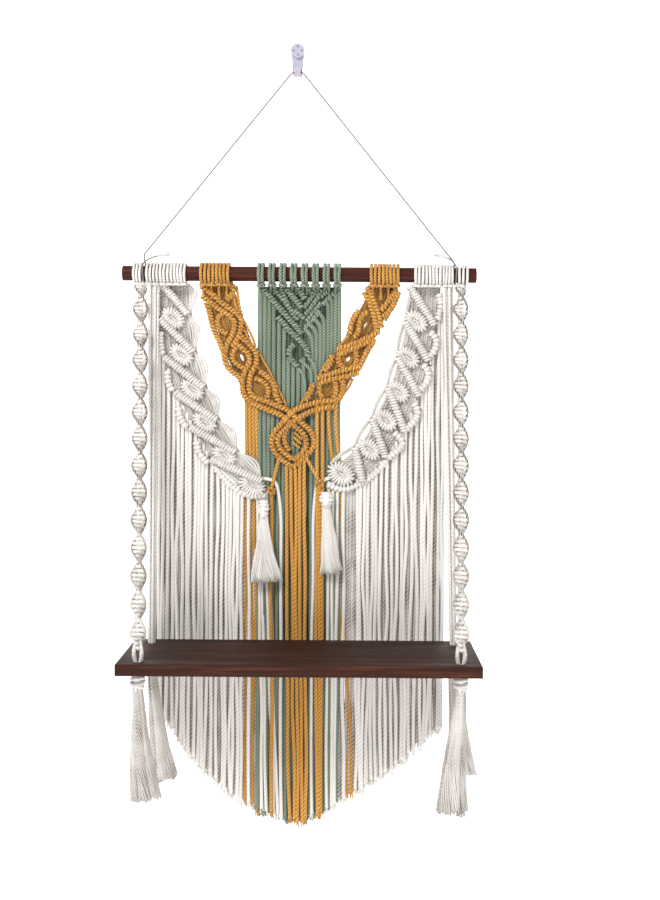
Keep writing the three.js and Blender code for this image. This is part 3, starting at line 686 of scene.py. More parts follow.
# %% Places of the yellow chain
# Rows of (x, drop) places. A tail is (x, drop of its root, x at the hem), and so is a cord behind the
# white bands. A cord that goes over the green panel first has its places down to the white band, and
# a tied one has its root and its knot, each with its x at the hem.
CHAIN_ROWS = [
    [(-128, 16), (-112, 28), (-100, 39), (-87, 48), (-75, 57), (-73, 68), (-75, 79), (-81, 92), (-85, 99)],
    [(-127, 29), (-116, 38), (-102, 48), (-91, 55), (-83, 64), (-83, 76), (-88, 87), (-94, 100), (-96, 111)],
    [(-121, 38), (-116, 52), (-113, 66), (-109, 78), (-103, 90), (-98, 102)],
    [(-90, 11), (-84, 20), (-87, 29), (-94, 35)],
    [(-100, 96), (-96, 109), (-94, 120), (-86, 131), (-76, 138), (-72, 146)],
    [(-81, 92), (-71, 101), (-63, 108), (-62, 119), (-68, 131), (-71, 145), (-70, 160), (-62, 171),
     (-48, 178), (-33, 184), (-17, 191), (-6, 200), (4, 208), (12, 216), (16, 226), (13, 237), (5, 246),
     (-2, 251)],
    [(-74, 84), (-64, 93), (-53, 106), (-53, 121), (-59, 133), (-62, 146), (-61, 159), (-53, 167),
     (-39, 171), (-25, 177), (-10, 183), (0, 192), (10, 201), (19, 209), (25, 218), (26, 230), (19, 241),
     (8, 252), (-2, 261)],
    [(-48, 131), (-37, 139), (-28, 150), (-26, 162), (-20, 175)],
    [(92, 23), (99, 35), (105, 51), (108, 66), (111, 77)],
    [(96, 16), (103, 30), (109, 44), (113, 58), (116, 71)],
    [(136, 17), (129, 30), (120, 42), (115, 48)],
    [(139, 22), (134, 35), (128, 46), (118, 57)],
    [(86, 48), (78, 58), (74, 71), (73, 80)],
    [(113, 75), (101, 83), (84, 91), (70, 96), (56, 101)],
    [(108, 86), (96, 91), (84, 96), (70, 102), (57, 109)],
    [(50, 108), (47, 119), (40, 131)],
    [(106, 89), (96, 104), (90, 117), (86, 127)],
    [(86, 124), (73, 127), (54, 132), (38, 137), (30, 141)],
    [(86, 131), (73, 136), (54, 140), (41, 143), (31, 149)],
    [(24, 148), (20, 160), (14, 171)],
    [(64, 142), (65, 157), (58, 170)],
    [(56, 170), (37, 171), (17, 176), (2, 182), (-8, 190), (-20, 204), (-28, 213), (-31, 224), (-30, 233),
     (-24, 244), (-13, 253), (-3, 260)],
    [(54, 178), (37, 180), (19, 186), (6, 193), (-4, 200), (-13, 209), (-22, 218), (-23, 227), (-19, 236),
     (-10, 244), (-3, 249)],
]
EYE_ARCS = [
    [(-98, 53), (-105, 59), (-105, 68), (-101, 76), (-92, 81)],
    [(-80, 98), (-84, 106), (-84, 116), (-77, 123), (-70, 127)],
    [(-55, 140), (-47, 143), (-39, 149), (-36, 157), (-38, 167)],
    [(97, 49), (89, 56), (86, 66), (85, 76), (79, 85)],
    [(62, 103), (58, 111), (60, 120), (66, 126)],
    [(80, 99), (83, 109), (82, 119), (76, 126)],
    [(33, 148), (33, 157), (37, 167)],
    [(53, 144), (56, 155), (52, 167)],
    [(-10, 208), (-14, 217), (-13, 228), (-7, 238)],
]
CHAIN_EDGES = [
    [
        [(-129, 14), (-124, 32), (-114, 54), (-105, 76), (-96, 98), (-90, 117), (-79, 137), (-69, 158),
         (-30, 186)],
        [(-86, 14), (-80, 32), (-74, 54), (-67, 73), (-58, 95), (-47, 113), (-36, 137), (-27, 156),
         (-12, 184)],
    ],
    [
        [(136, 14), (130, 35), (120, 58), (111, 78), (99, 98), (87, 120), (74, 142), (60, 164), (24, 184)],
        [(97, 14), (93, 35), (83, 54), (73, 73), (61, 95), (47, 117), (34, 139), (18, 160), (4, 184)],
    ],
]
OPEN_EYES = [(-73, 112), (95, 69), (71, 113)]
RING_CORDS = [[(-1, 213), (10, 223)], [(-2, 219), (9, 229)], [(-3, 226), (7, 235)]]
SLACK_YELLOW = [
    [(-80, 16), (-78, 30), (-76, 44), (-72, 57)], [(-84, 30), (-81, 42), (-76, 54)],
    [(-70, 63), (-64, 74), (-58, 86), (-54, 98)], [(-70, 72), (-66, 82), (-60, 93)],
    [(-50, 104), (-42, 118), (-33, 134), (-22, 156), (-11, 178)], [(-54, 116), (-50, 126), (-46, 134)],
    [(138, 24), (131, 44), (121, 62)], [(133, 30), (127, 46), (119, 58)],
    [(74, 78), (66, 88), (58, 98)], [(48, 112), (40, 122), (32, 138)], [(26, 146), (17, 160), (7, 176)],
    [(101, 100), (93, 116), (85, 130)], [(78, 140), (72, 152), (63, 164)],
]
YELLOW_TAILS = [
    (-11, 255, -4), (-5, 258, 2.5), (1, 259, 8), (7, 256, 13), (13, 250, 18.5), (30, 172, 33), (37, 170, 39),
]
YELLOW_BEHIND = [(-66, 160, -64), (-61.2, 163, -53), (-56.5, 167, -47.5), (-52, 171, -29)]
YELLOW_OVER = [
    ([(45, 168), (46, 205), (49, 236), (53, 262)], 75),
    ([(55, 162), (55.5, 200), (58, 232), (62, 258)], 80),
]
YELLOW_TIES = [((-20, 244), (-31, 290), -28), ((14, 244), (34, 280), 36.5)]
CHAIN_HITCH = {"half_width": 4.7, "half_depth": 5.0, "radius": 2.5, "pitch": 4.7, "groove": 0.07}
EYE_HITCH = {"half_width": 4.4, "half_depth": 4.6, "radius": 2.3, "pitch": 4.4, "lean": 0.1}
print(len(CHAIN_ROWS), "rows of hitches and", len(EYE_ARCS), "arcs round the eyes")


# %% Yellow chain laid
def yellow_chain():
    """Headings, rows with their eyes, slack cords, and tails in front of and behind the white bands."""
    skein = Skein()
    y = LAYER["yellow"]
    rod_loops(skein, -129, -88, 8, radius=2.6)
    rod_loops(skein, 99.5, 140, 8, radius=2.6)
    for heading_from in (-125, 104):
        for k in range(4):
            x = heading_from + k * 10.5
            skein.lay([at(x, 13, ROD_Y + 1), at(x, 22, y), at(x + 1, 34, y)], 2.3, INTO_WALL)
    for edges in CHAIN_EDGES:
        # The cords behind the chain are painted in shade, so the eyes show dark.
        backing(skein, edges, y + 4, 11, 1.3, OPEN_EYES)
    for row in EYE_ARCS:
        hitch_row(skein, on_curtain(row, y + 0.8), **EYE_HITCH)
    for row in CHAIN_ROWS:
        hitch_row(skein, on_curtain(row, y), **CHAIN_HITCH)
    for row in RING_CORDS:
        skein.lay(on_curtain(row, y + 0.5), 2.3, INTO_WALL)
    for row in SLACK_YELLOW:
        skein.lay(on_curtain(row, y + 2), 2.1, INTO_WALL)
    for x, root, end_x in YELLOW_TAILS:
        hanging(skein, x, root, y, end_x)
    behind = LAYER["green"] - 1.6
    for x, root, end_x in YELLOW_BEHIND:
        start = [at(x, root, y + 1), at(x, root + 18, y + 4)]
        hanging(skein, x, root + 42, behind, end_x, start=start, radius=2.5)
    for places, end_x in YELLOW_OVER:
        start = [at(*place, depth) for place, depth in zip(places, (y + 1, y + 1.6, y + 3, behind))]
        foot_x, foot_drop = places[-1]
        hanging(skein, foot_x, foot_drop + 24, behind, end_x, start=start, radius=2.5)
    for root, knot, end_x in YELLOW_TIES:
        hanging(skein, knot[0], knot[1] + 3, y, end_x, start=[at(*root, y), at(*knot, y - 1)])
        leaf_knot(skein, knot[0], knot[1] + 2, y - 2, 6.5, slit=(1.0, 0.5), radius=2.2)
    skein.piece("yellow_chain_cords", yellow_cotton, "yellow_cord", "yellow_chain")


yellow_chain()

# %% [markdown]
# The green panel hangs from eight pairs of loops. Two long bars of hitches run down to the right, with
# short ones above them, and end in a small ring. Every cord then hangs straight to the hem, in front of
# a close row of cords in painted shade that fills the gaps. A cloth with a striped bump would look
# printed, so these are single cords too, twisted harder than the white ones.

# %% Places of the green panel
# Rows of (x, drop) places. A slanting cord is (x and drop where it starts, x and drop where it bends
# down), and a hanging cord is (x, drop of its root, x at the hem).
GREEN_PAIRS = {"count": 8, "from": -52.0, "to": 61.5, "width": 10.6}
GREEN_ROWS = [
    [(-44, 19), (-36, 29), (-26, 41), (-17, 51), (-7, 62), (2, 72), (8, 80)],
    [(-25, 57), (-16, 66), (-8, 76), (1, 84), (10, 94), (16, 102), (17, 111)],
    [(-13, 18), (-6, 28), (2, 37), (8, 45)], [(1, 17), (7, 25), (12, 33)],
    [(-2, 94), (-8, 101), (-8, 110), (-4, 117), (3, 124)],
]
GREEN_FINE_ROWS = [
    [(-30, 18), (-23, 27), (-16, 36), (-9, 45), (-2, 54)],
    [(-21, 18), (-15, 30), (-10, 41), (-5, 52), (3, 61)],
    [(-2, 47), (5, 54), (12, 59)], [(17, 18), (22, 26)],
    [(28, 19), (23, 28), (17, 36), (11, 45)], [(35, 19), (31, 28), (26, 36), (20, 45), (13, 54)],
    [(34, 37), (28, 45), (22, 53), (14, 63)], [(33, 48), (27, 56), (20, 64), (12, 72)],
    [(54, 20), (46, 29), (36, 40)], [(45, 18), (39, 24), (34, 30)],
]
GREEN_SLANTS = [
    (11, 72, 22.5, 94), (16, 65, 28, 84), (22, 57, 33.5, 76), (29, 49, 38.5, 68),
    (40, 34, 44, 48), (46, 29, 49, 42), (52, 23, 54, 36), (58, 18, 59, 32),
]
GREEN_CORDS = [
    (-47.8, 18, -48), (-41.8, 24, -42), (-35.8, 32, -36), (-29.9, 40, -29.5), (-22.5, 62, -23),
    (-15.5, 72, -16), (-9.5, 112, -9.5), (-3, 120, -3), (4, 122, 4), (11, 112, 11),
]
GREEN_FAN = [
    [(6, 115), (13, 121), (20, 129), (22, 143), (22, 176)], [(2, 126), (9, 132), (13, 146), (14, 176)],
    [(17, 111), (24, 120), (28, 134), (28, 176)],
]
GREEN_FILL = {"from": -49, "to": 62, "pitch": 5.6}
# The green rows take painted shade for each mm that they lie behind their front.
GREEN_HITCH = {"half_width": 4.7, "half_depth": 6.0, "pitch": 4.4, "radius": 2.3, "shade_per_mm_behind": 0.02}
GREEN_FINE_HITCH = {"half_width": 3.9, "half_depth": 4.8, "pitch": 4.4, "radius": 2.2, "shade_per_mm_behind": 0.07}
GREEN_LAY = 11.4
print(len(GREEN_CORDS) + len(GREEN_SLANTS), "green cords in front")


# %% Green panel laid
def green_panel():
    """Pairs of loops, the fill behind, the bars and the ring, and the cords that hang from them."""
    skein = Skein()
    front = LAYER["green"] - 3.6
    pitch = (GREEN_PAIRS["to"] - GREEN_PAIRS["from"] - GREEN_PAIRS["width"]) / (GREEN_PAIRS["count"] - 1)
    for i in range(GREEN_PAIRS["count"]):
        x = GREEN_PAIRS["from"] + i * pitch
        rod_loops(skein, x + 0.6, x + GREEN_PAIRS["width"] - 0.6, 2, radius=2.7)
        for side in (2.6, 8.0):
            under = [at(x + side, 13, ROD_Y + 1), at(x + side, 19, front - 2), at(x + side, 27, front)]
            skein.lay(under, 2.6, INTO_WALL)
    # The fill behind is painted in shade.
    for x in np.arange(GREEN_FILL["from"], GREEN_FILL["to"], GREEN_FILL["pitch"]):
        hanging(skein, x, 16, LAYER["green"] + 0.2, wander=0.3, radius=2.9, lay=GREEN_LAY, shaded=1.2)
    for row in GREEN_FINE_ROWS:
        hitch_row(skein, on_curtain(row, front - 0.6), **GREEN_FINE_HITCH)
    for row in GREEN_ROWS:
        hitch_row(skein, on_curtain(row, front - 2.5), **GREEN_HITCH)
    for start_x, start_drop, x, bend in GREEN_SLANTS:
        start = [
            at(start_x, start_drop, front - 1),
            at(start_x + (x - start_x) * 0.7, start_drop + (bend - start_drop) * 0.4, front - 2),
        ]
        hanging(skein, x, bend, front, start=start, wander=0.8, radius=2.8, lay=GREEN_LAY, shaded=0.3)
    for x, root, end_x in GREEN_CORDS:
        hanging(skein, x, root, front, end_x, wander=1.0, radius=2.9, lay=GREEN_LAY, shaded=0.3)
    for row in GREEN_FAN:
        skein.lay(on_curtain(row, front - 2.5), 2.7, INTO_WALL, lay=GREEN_LAY)
    skein.piece("green_panel_cords", green_cotton, "green_cord", "green_panel")


green_panel()

# %% [markdown]
# The front legs are spiral sinnets: half knots tied always the same way round two straight cords, so
# that the whole leg winds. An array with a twist could repeat one knot, but the leg has to slim down
# into its hole. So each half knot is a flat loop, turned a little further than the one above, and two
# edge cords run round the outside.

# %% Front legs
SPIRAL = {"half_turn": 35.5, "wide": 9.8, "flat": 4.4, "pitch": 5.6, "radius": 2.7, "edge": 8.6, "sag": 1.2}


def winding(share, length, across, outward):
    """The two directions of the flat knot at a place down the leg."""
    turn = share * length / SPIRAL["half_turn"] * math.pi
    wide = across * math.cos(turn) - outward * math.sin(turn)
    return wide, across * math.sin(turn) + outward * math.cos(turn)


def spiral_knots(skein, top, down, length, across, outward, knots):
    """Flat loops one below the other, smaller near both ends of the leg."""
    angle = np.arange(20) / 20 * 2 * np.pi
    b = SPIRAL["flat"] - SPIRAL["radius"]
    for k in range(knots):
        share = (k + 0.5) / knots
        slim = min(1.0, 0.75 + share * length / 30, 0.6 + (1 - share) * length / 40)
        wide, deep = winding(share, length, across, outward)
        a = (SPIRAL["wide"] - SPIRAL["radius"]) * slim
        loop = (
            top + down * share * length
            + a * np.cos(angle)[:, None] * wide
            + b * np.sin(angle)[:, None] * deep
            - SPIRAL["sag"] * np.sin(angle)[:, None] * down * np.abs(np.cos(angle))[:, None]
        )
        # Painted shade darkens the turns where they lie further back.
        skein.lay(loop, SPIRAL["radius"], down, closed=True, lay=12.0, groove=0.1, shade_per_mm_behind=0.13)


def spiral_edge(skein, side, top, down, length, across, outward, steps):
    """The cord along one edge of the winding knots."""
    edge = []
    for share in np.linspace(0.012, 0.988, steps):
        wide, _ = winding(share, length, across, outward)
        slim = min(1.0, 0.7 + share * length / 30, 0.5 + (1 - share) * length / 30)
        edge.append(top + down * share * length + side * SPIRAL["edge"] * slim * wide)
    # The edge cords are painted a little in shade, more where they lie further back.
    skein.lay(edge, 2.0, None, step=1.9, groove=0.12, shaded=0.3, shade_per_mm_behind=0.04)


def spiral_leg(name, loops, top_x, hole_x):
    """Loops on the rod, the winding knots, and two cords that pass through the front hole."""
    skein = Skein()
    rod_loops(skein, *loops, 3, radius=2.1)
    top = np.array((top_x, ROD_Y - 3, ROD_Z - 13.2))
    foot = np.array((hole_x, HOLE_FRONT, BOARD_TOP + 13))
    length = np.linalg.norm(foot - top)
    down = (foot - top) / length
    across = unit(np.cross(down, INTO_WALL))
    outward = np.cross(down, across)
    knots = round(length / SPIRAL["pitch"])
    spiral_knots(skein, top, down, length, across, outward, knots)
    # A core cord in painted shade shows where the knots twist.
    skein.lay([top, top + down * (length - 10)], 3.6, INTO_WALL, step=6.0, groove=0, shaded=1.2)
    for side in (-1, 1):
        spiral_edge(skein, side, top, down, length, across, outward, knots * 2)
        foot_cord = [
            top + down * (length - 12) + across * side * 2, foot + across * side * 4.6 + outward * 1.5,
            np.array((hole_x + side * 4.4, HOLE_FRONT - 0.5, BOARD_TOP + 4)),
            np.array((hole_x + side * 2.6, HOLE_FRONT, BOARD_TOP - 4)),
            np.array((hole_x + side * 2.4, HOLE_FRONT, BOARD_UNDER - 2)),
        ]
        skein.lay(foot_cord, 2.9, INTO_WALL, groove=0.1)
    skein.piece(name + "_cords", white_cotton, "white_cord", name)


spiral_leg("spiral_left", (-218.5, -206.9), -208.5, HOLE_XS[0])
spiral_leg("spiral_right", (217.4, 232.5), 222, HOLE_XS[1])

# %% [markdown]
# The back legs stay unknotted: four plain cords side by side, drawn together where they go into the
# hole. They are the same swept cords again, pulled straight by the board's weight.



# %% Back legs
def back_leg(name, loops, top_x, hole_x):
    """Plain cords side by side, from their loops on the rod into the back hole."""
    skein = Skein()
    rod_loops(skein, *loops, 4, radius=2.1)
    for k, side in enumerate((-5.2, -1.8, 1.8, 5.2)):
        top = (top_x + side, ROD_Y - 3 + 3 * (k % 2), ROD_Z - 12)
        foot = (hole_x + side * 0.55, HOLE_BACK + (k % 2) * 3 - 1.5, BOARD_TOP + 8)
        end = (hole_x + side * 0.5, HOLE_BACK + (k % 2) * 3 - 1.5, BOARD_UNDER - 2)
        skein.lay([top, foot, end], 2.4, INTO_WALL, lay=17.0)
    skein.piece(name + "_strands", white_cotton, "white_cord", name)


back_leg("back_cords_left", (-201.1, -184), -191, HOLE_XS[0])
back_leg("back_cords_right", (197, 211.6), 205, HOLE_XS[1])

# %% [markdown]
# A tassel is a bundle of cords, tied at the neck and combed out below it. The shelf's tassels come out
# of the cord holes, under a knot that keeps the board from slipping down. Particle hair would need a
# hidden emitter and baking, so the yarns are laid as fine cords. Combed yarn clings together, so nine of
# them twist round each other in a lock, and each lock has its own tone.

# %% Head of a tassel
HEAD_TURNS = 5


def tassel_head(skein, x, y, z, radius, height, depth):
    """Turns of cord wound over a core; depth is how deep the tassel is for its width."""
    angle = np.arange(18) / 18 * 2 * np.pi
    for k in range(HEAD_TURNS):
        share = (k + 0.5) / HEAD_TURNS
        swell = 0.72 + 0.42 * math.sin(math.pi * min(1, share * 1.15))
        reach = radius * swell - 2
        tilt = 0.3 * math.sin(k * 2.4)
        loop = np.stack([
            x + reach * np.cos(angle), y + reach * depth * np.sin(angle),
            z - height * share + tilt * reach * np.cos(angle + k),
        ], axis=1)
        skein.lay(loop, height / HEAD_TURNS * 0.6, UP, closed=True, lay=14.0, groove=0.1)
    skein.lay([(x, y, z), (x, y, z - height)], radius * 0.7, INTO_WALL, step=6.0, groove=0)


# %% Tassels
YARNS_PER_LOCK = 9
LOCK_TURNS = 0.9
GOLDEN_ANGLE = 2.39996
LOCK_TONES = (0.0, 0.1, 0.25, 0.6)
STATIONS = (0, 0.12, 0.3, 0.5, 0.7, 0.86, 1.0)


def tassel(x, y, z, length, spread, lean, head, strands, depth, yarn, painted_board_shade=0.0):
    """A wound head and a skirt of yarns; head is its radius and height, yarn a yarn's radius."""
    skein = Skein()
    tassel_head(skein, x, y, z, *head, depth)
    head_radius, head_height = head
    neck_width = head_radius * 0.5
    neck = z - head_height * 0.8
    locks = round(strands / YARNS_PER_LOCK)
    for k in range(locks):
        angle = k * GOLDEN_ANGLE
        out = 0.92 * math.sqrt((k + 0.5) / locks)
        side, front = out * math.cos(angle), out * math.sin(angle)
        sway = rng.uniform(-1, 1, 3)
        # Painted shade: locks at the sides are darker, and the shelf's tassels are darker all over, as under
        # the board. Each lock also has its own random darkness.
        shaded = painted_board_shade + rng.choice(LOCK_TONES) + 0.3 * abs(side)
        for m in range(YARNS_PER_LOCK):
            drop = length * (0.975 + 0.025 * sway[2] + rng.uniform(-0.025, 0))
            points = []
            for share in STATIONS:
                width = neck_width + (spread - neck_width) * share**1.2
                around = m / YARNS_PER_LOCK * 2 * math.pi + LOCK_TURNS * 2 * math.pi * share
                thick = spread * (0.08 + 0.17 * share)
                bend = 1.8 * math.sin(6 * share + 3 * sway[0]) * share
                points.append((
                    x + lean * share**1.2 + side * width + thick * math.cos(around) + bend,
                    y + (front * width + thick * math.sin(around)) * depth,
                    neck - (drop - head_height * 0.8) * share,
                ))
            skein.lay(points, yarn, INTO_WALL, step=8.0, lay=14.0, sides=5, groove=0, shaded=shaded)
    return skein


SMALL = {"length": 112, "strands": 153, "depth": 0.4, "yarn": 1.25}
# The shelf's tassels are painted in shade, as under the board.
SHELF = {
    "z": BOARD_UNDER - 1, "head": (8.5, 22), "strands": 216, "depth": 0.85, "yarn": 1.35, "painted_board_shade": 0.5,
}
FRONT_LEFT = {"x": HOLE_XS[0], "y": HOLE_FRONT}
FRONT_RIGHT = {"x": HOLE_XS[1], "y": HOLE_FRONT}
BACK_LEFT = {"x": HOLE_XS[0], "y": HOLE_BACK}
BACK_RIGHT = {"x": HOLE_XS[1], "y": HOLE_BACK}
TASSELS = {
    "small_tassel_left": {
        "x": -41, "y": -21.5, "z": ROD_Z - 304, "spread": 20, "lean": 3, "head": (6.5, 25), **SMALL,
    },
    "small_tassel_right": {
        "x": 43, "y": -19.2, "z": ROD_Z - 293, "spread": 14, "lean": 7, "head": (8.5, 20), **SMALL,
    },
    "shelf_tassel_front_left": {"length": 158, "spread": 17, "lean": 9, **FRONT_LEFT, **SHELF},
    "shelf_tassel_front_right": {"length": 172, "spread": 18, "lean": -12, **FRONT_RIGHT, **SHELF},
    "shelf_tassel_back_left": {"length": 170, "spread": 14, "lean": 18, **BACK_LEFT, **SHELF},
    "shelf_tassel_back_right": {"length": 160, "spread": 17, "lean": 14, **BACK_RIGHT, **SHELF},
}
for name, form in TASSELS.items():
    tassel(**form).piece(name + "_yarns", white_cotton, "white_cord", name)

# %% [markdown]
# The hanging cord is one thin twine. Its route repeats the frame's: a free tail, one turn round the
# rod, straight up to the hook, over its lip, and the same on the other side. It is drawn taut by the
# shelf's weight, so it needs no simulation, and its cut ends open into short pale tufts.

# %% Route of the hanging cord
TWINE_RADIUS = 1.0
TUFT_FIBRES = 18
HANGING_CORD_MM = [
    (-179.0, -21.5, -268.0), (-191.5, -21.5, -270.5), (-202.5, -22.6, -276.5), (-205.3, -25.49, -283.51),
    (-204.93, -29.0, -292.0), (-204.56, -25.49, -300.49), (-204.19, -17.0, -304.0), (-203.81, -8.51, -300.49),
    (-203.44, -5.0, -292.0), (-203.07, -8.51, -283.51), (-202.7, -17.0, -280.0), (-204.0, -17.0, -266.0),
    (-194.4, -16.46, -253.86), (-108.0, -11.65, -144.6), (-21.6, -6.84, -35.34), (-12.0, -6.3, -23.2),
    (-5.2, -5.9, -16.5), (0.0, -5.7, -16.0), (5.2, -5.9, -16.5), (12.0, -6.3, -23.2),
    (22.02, -6.84, -35.72), (112.15, -11.65, -148.35), (202.29, -16.46, -260.99), (212.3, -17.0, -273.5),
    (213.2, -17.0, -280.0), (213.57, -8.51, -283.51), (213.94, -5.0, -292.0), (214.31, -8.51, -300.49),
    (214.69, -17.0, -304.0), (215.06, -25.49, -300.49), (215.43, -29.0, -292.0), (215.8, -25.49, -283.51),
    (213.0, -22.6, -276.5), (206.5, -21.5, -270.5), (198.5, -21.5, -268.0),
]


# %% Hanging cord
twine_skein = Skein()
twine_skein.lay(HANGING_CORD_MM, TWINE_RADIUS, None, step=1.2, lay=7.0, sides=8, groove=0)
twine = twine_skein.piece("hanging_twine", twine_cotton, "twine", "hanging_cord")
tuft_skein = Skein()
for before, end in (HANGING_CORD_MM[1::-1], HANGING_CORD_MM[-2:]):
    end = np.array(end)
    ahead = unit(end - before)
    for _ in range(TUFT_FIBRES):
        spread = rng.uniform(-3.4, 3.4, 3) * (1, 0.5, 1)
        tip = end + ahead * rng.uniform(4, 14) + spread
        fibre = [end - ahead * 9, end + spread * 0.3, tip]
        tuft_skein.lay(fibre, 0.7, None, step=3.0, sides=5, groove=0, shaded=0.3)
tuft_skein.piece("hanging_twine_tufts", white_cotton, "twine")

# %% [markdown]
# The board and the rod are pine, planed and sanded, dark stained and thinly varnished. The grain runs
# along their length: pale and dark streaks, about 4 mm wide and 150 mm long, and pores about 1 mm wide
# and 36 mm long that the stain has darkened. Wood rings would show on a thicker board, but here two
# noises, stretched along the grain, give what the eye sees: a dark, almost even satin surface.


# %% Stained wood
STREAKS_ALONG = 2.2
PORE_STRETCH = (14.0, 420.0, 420.0)


def stained_wood(name, light, dark, streak, edge, streaks_across, coat):
    """Pine with a dark stain: streaks along X, fine pores, painted light on upright faces, thin satin finish.
    """
    material, tree, shader = new_material(name, 0.62, Coat_Weight=coat, Coat_Roughness=0.4)
    shader.inputs["Specular IOR Level"].default_value = 0.15
    place = add_node(tree, "TexCoord").outputs["Object"]
    stretched = add_node(tree, "Mapping", None, {
        "Vector": place, "Scale": (STREAKS_ALONG, streaks_across, streaks_across),
    })
    grain = add_node(tree, "TexNoise", None, {
        "Vector": stretched.outputs[0], "Scale": 3.0, "Detail": 6.0, "Roughness": 0.62, "Distortion": 0.5,
    })
    fine = add_node(tree, "Mapping", None, {"Vector": place, "Scale": PORE_STRETCH})
    pores = add_node(tree, "TexNoise", None, {"Vector": fine.outputs[0], "Scale": 2.0, "Detail": 4.0})
    ramp = add_node(tree, "ValToRGB", None, {"Fac": grain.outputs[0]})
    ramp.color_ramp.elements[0].position = 0.36
    ramp.color_ramp.elements[0].color = colour(dark)
    ramp.color_ramp.elements[1].position = 0.66
    ramp.color_ramp.elements[1].color = colour(light)
    middle = ramp.color_ramp.elements.new(0.52)
    middle.color = colour(streak)
    pore_share = add_node(tree, "MapRange", None, {0: pores.outputs[0], 1: 0.38, 2: 0.55, 3: 0.55, 4: 0.0})
    stained = blend_colours(tree, pore_share.outputs[0], ramp.outputs[0], colour(dark))
    # Painted light: faces that stand upright are lighter and redder than the top and bottom, as the light
    # falls on them.
    facing = add_node(tree, "SeparateXYZ", None, {0: add_node(tree, "TexCoord").outputs["Normal"]})
    upright = add_node(tree, "Math", {"operation": "ABSOLUTE"}, {0: facing.outputs["Z"]})
    painted_side_light_share = add_node(tree, "MapRange", None, {0: upright.outputs[0], 1: 0.2, 2: 0.9, 3: 0.3, 4: 0.0})
    with_painted_side_light = blend_colours(tree, painted_side_light_share.outputs[0], stained, colour(edge))
    tree.links.new(with_painted_side_light, shader.inputs["Base Color"])
    relief = add_node(tree, "Math", {"operation": "MULTIPLY_ADD"}, {
        0: pores.outputs[0], 1: 0.6, 2: grain.outputs[0],
    })
    bump = add_node(tree, "Bump", None, {"Strength": 0.25, "Distance": 0.0006, "Height": relief.outputs[0]})
    tree.links.new(bump.outputs[0], shader.inputs["Normal"])
    return material


# The fifth colour is the painted light on faces that stand upright.
board_wood = stained_wood("stained_pine", "#623823", "#130905", "#341B12", "#4A2113", 85.0, 0.05)
rod_wood = stained_wood("stained_dowel", "#5E2C1B", "#260E09", "#42190E", "#4C2012", 110.0, 0.06)
print("two stained woods")

# %% [markdown]
# The hard pieces are modelled as by hand: a primitive is added at its size and place, drilled and
# eased, and its modifiers are applied. The board is a box with a drilled hole near each corner, and
# the rod a cylinder. Their edges are sanded round, which catches the light.


# %% Modelling helpers for the hard pieces
def start_piece(operator, **how):
    """Adds a primitive with nothing else selected."""
    bpy.ops.object.select_all(action="DESELECT")
    operator(**how)
    return bpy.context.view_layer.objects.active


def finish_piece(obj, name, material, node):
    """Places the mesh in the frame, names it and lets it stand for its solid."""
    bpy.ops.object.select_all(action="DESELECT")
    obj.select_set(True)
    bpy.context.view_layer.objects.active = obj
    bpy.ops.object.transform_apply(location=True, rotation=True, scale=True)
    for modifier in list(obj.modifiers):
        bpy.ops.object.modifier_apply(modifier=modifier.name)
    bpy.ops.object.shade_smooth_by_angle(angle=math.radians(35))
    obj.name = name
    obj.data.materials.clear()
    obj.data.materials.append(material)
    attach(obj, "root")
    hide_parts(node)
    print(name, "has", len(obj.data.polygons), "faces")


def eased_edges(obj, width, angle):
    """Rounds the edges that are sharper than the angle."""
    eased = obj.modifiers.new("eased", "BEVEL")
    eased.width = width * MM
    eased.segments = 3
    eased.angle_limit = math.radians(angle)


# %% Shelf board
def shelf_board():
    """The board with its four drilled holes."""
    size = (board_high - board_low) * MM
    centre = (board_high + board_low) / 2 * MM
    board = start_piece(bpy.ops.mesh.primitive_cube_add, size=1, location=centre, scale=size)
    bpy.ops.object.transform_apply(location=False, rotation=False, scale=True)
    for x in HOLE_XS:
        for y in (HOLE_FRONT, HOLE_BACK):
            drill = start_piece(
                bpy.ops.mesh.primitive_cylinder_add, vertices=40, radius=HOLE_RADIUS * MM, depth=size[2] * 3,
                location=(x * MM, y * MM, centre[2]),
            )
            bpy.context.view_layer.objects.active = board
            cut = board.modifiers.new("hole", "BOOLEAN")
            cut.object = drill
            bpy.ops.object.modifier_apply(modifier=cut.name)
            bpy.data.objects.remove(drill)
    eased_edges(board, 1.2, 50)
    finish_piece(board, "shelf_board", board_wood, "shelf")


shelf_board()


# %% Rod
def dowel():
    """The round rod, turned to lie along X."""
    length = (rod_high[0] - rod_low[0]) * MM
    rod = start_piece(
        bpy.ops.mesh.primitive_cylinder_add, vertices=64, radius=ROD_RADIUS * MM, depth=length,
        location=((rod_low[0] + rod_high[0]) / 2 * MM, ROD_Y * MM, ROD_Z * MM), rotation=(0, math.pi / 2, 0),
    )
    eased_edges(rod, 0.8, 60)
    finish_piece(rod, "dowel_rod", rod_wood, "rod")


dowel()

# %% [markdown]
# The hook is moulded in glossy, slightly violet white plastic, and four zinc-plated pins nail it to
# the wall. Both could be modelled again, but the frame's solids already have the right shape, so they
# keep their meshes and only get a finish: two close colours in soft marks.


# %% Hook and pins
def mottled(name, roughness, light, dark, marks_per_mm, **sockets):
    """Two close colours in soft marks over the whole surface."""
    material, tree, shader = new_material(name, roughness, **sockets)
    place = add_node(tree, "TexCoord").outputs["Object"]
    marks = add_node(tree, "TexNoise", None, {"Vector": place, "Scale": marks_per_mm / MM, "Detail": 2.0})
    mixed = blend_colours(tree, marks.outputs[0], colour(light), colour(dark))
    tree.links.new(mixed, shader.inputs["Base Color"])
    return material


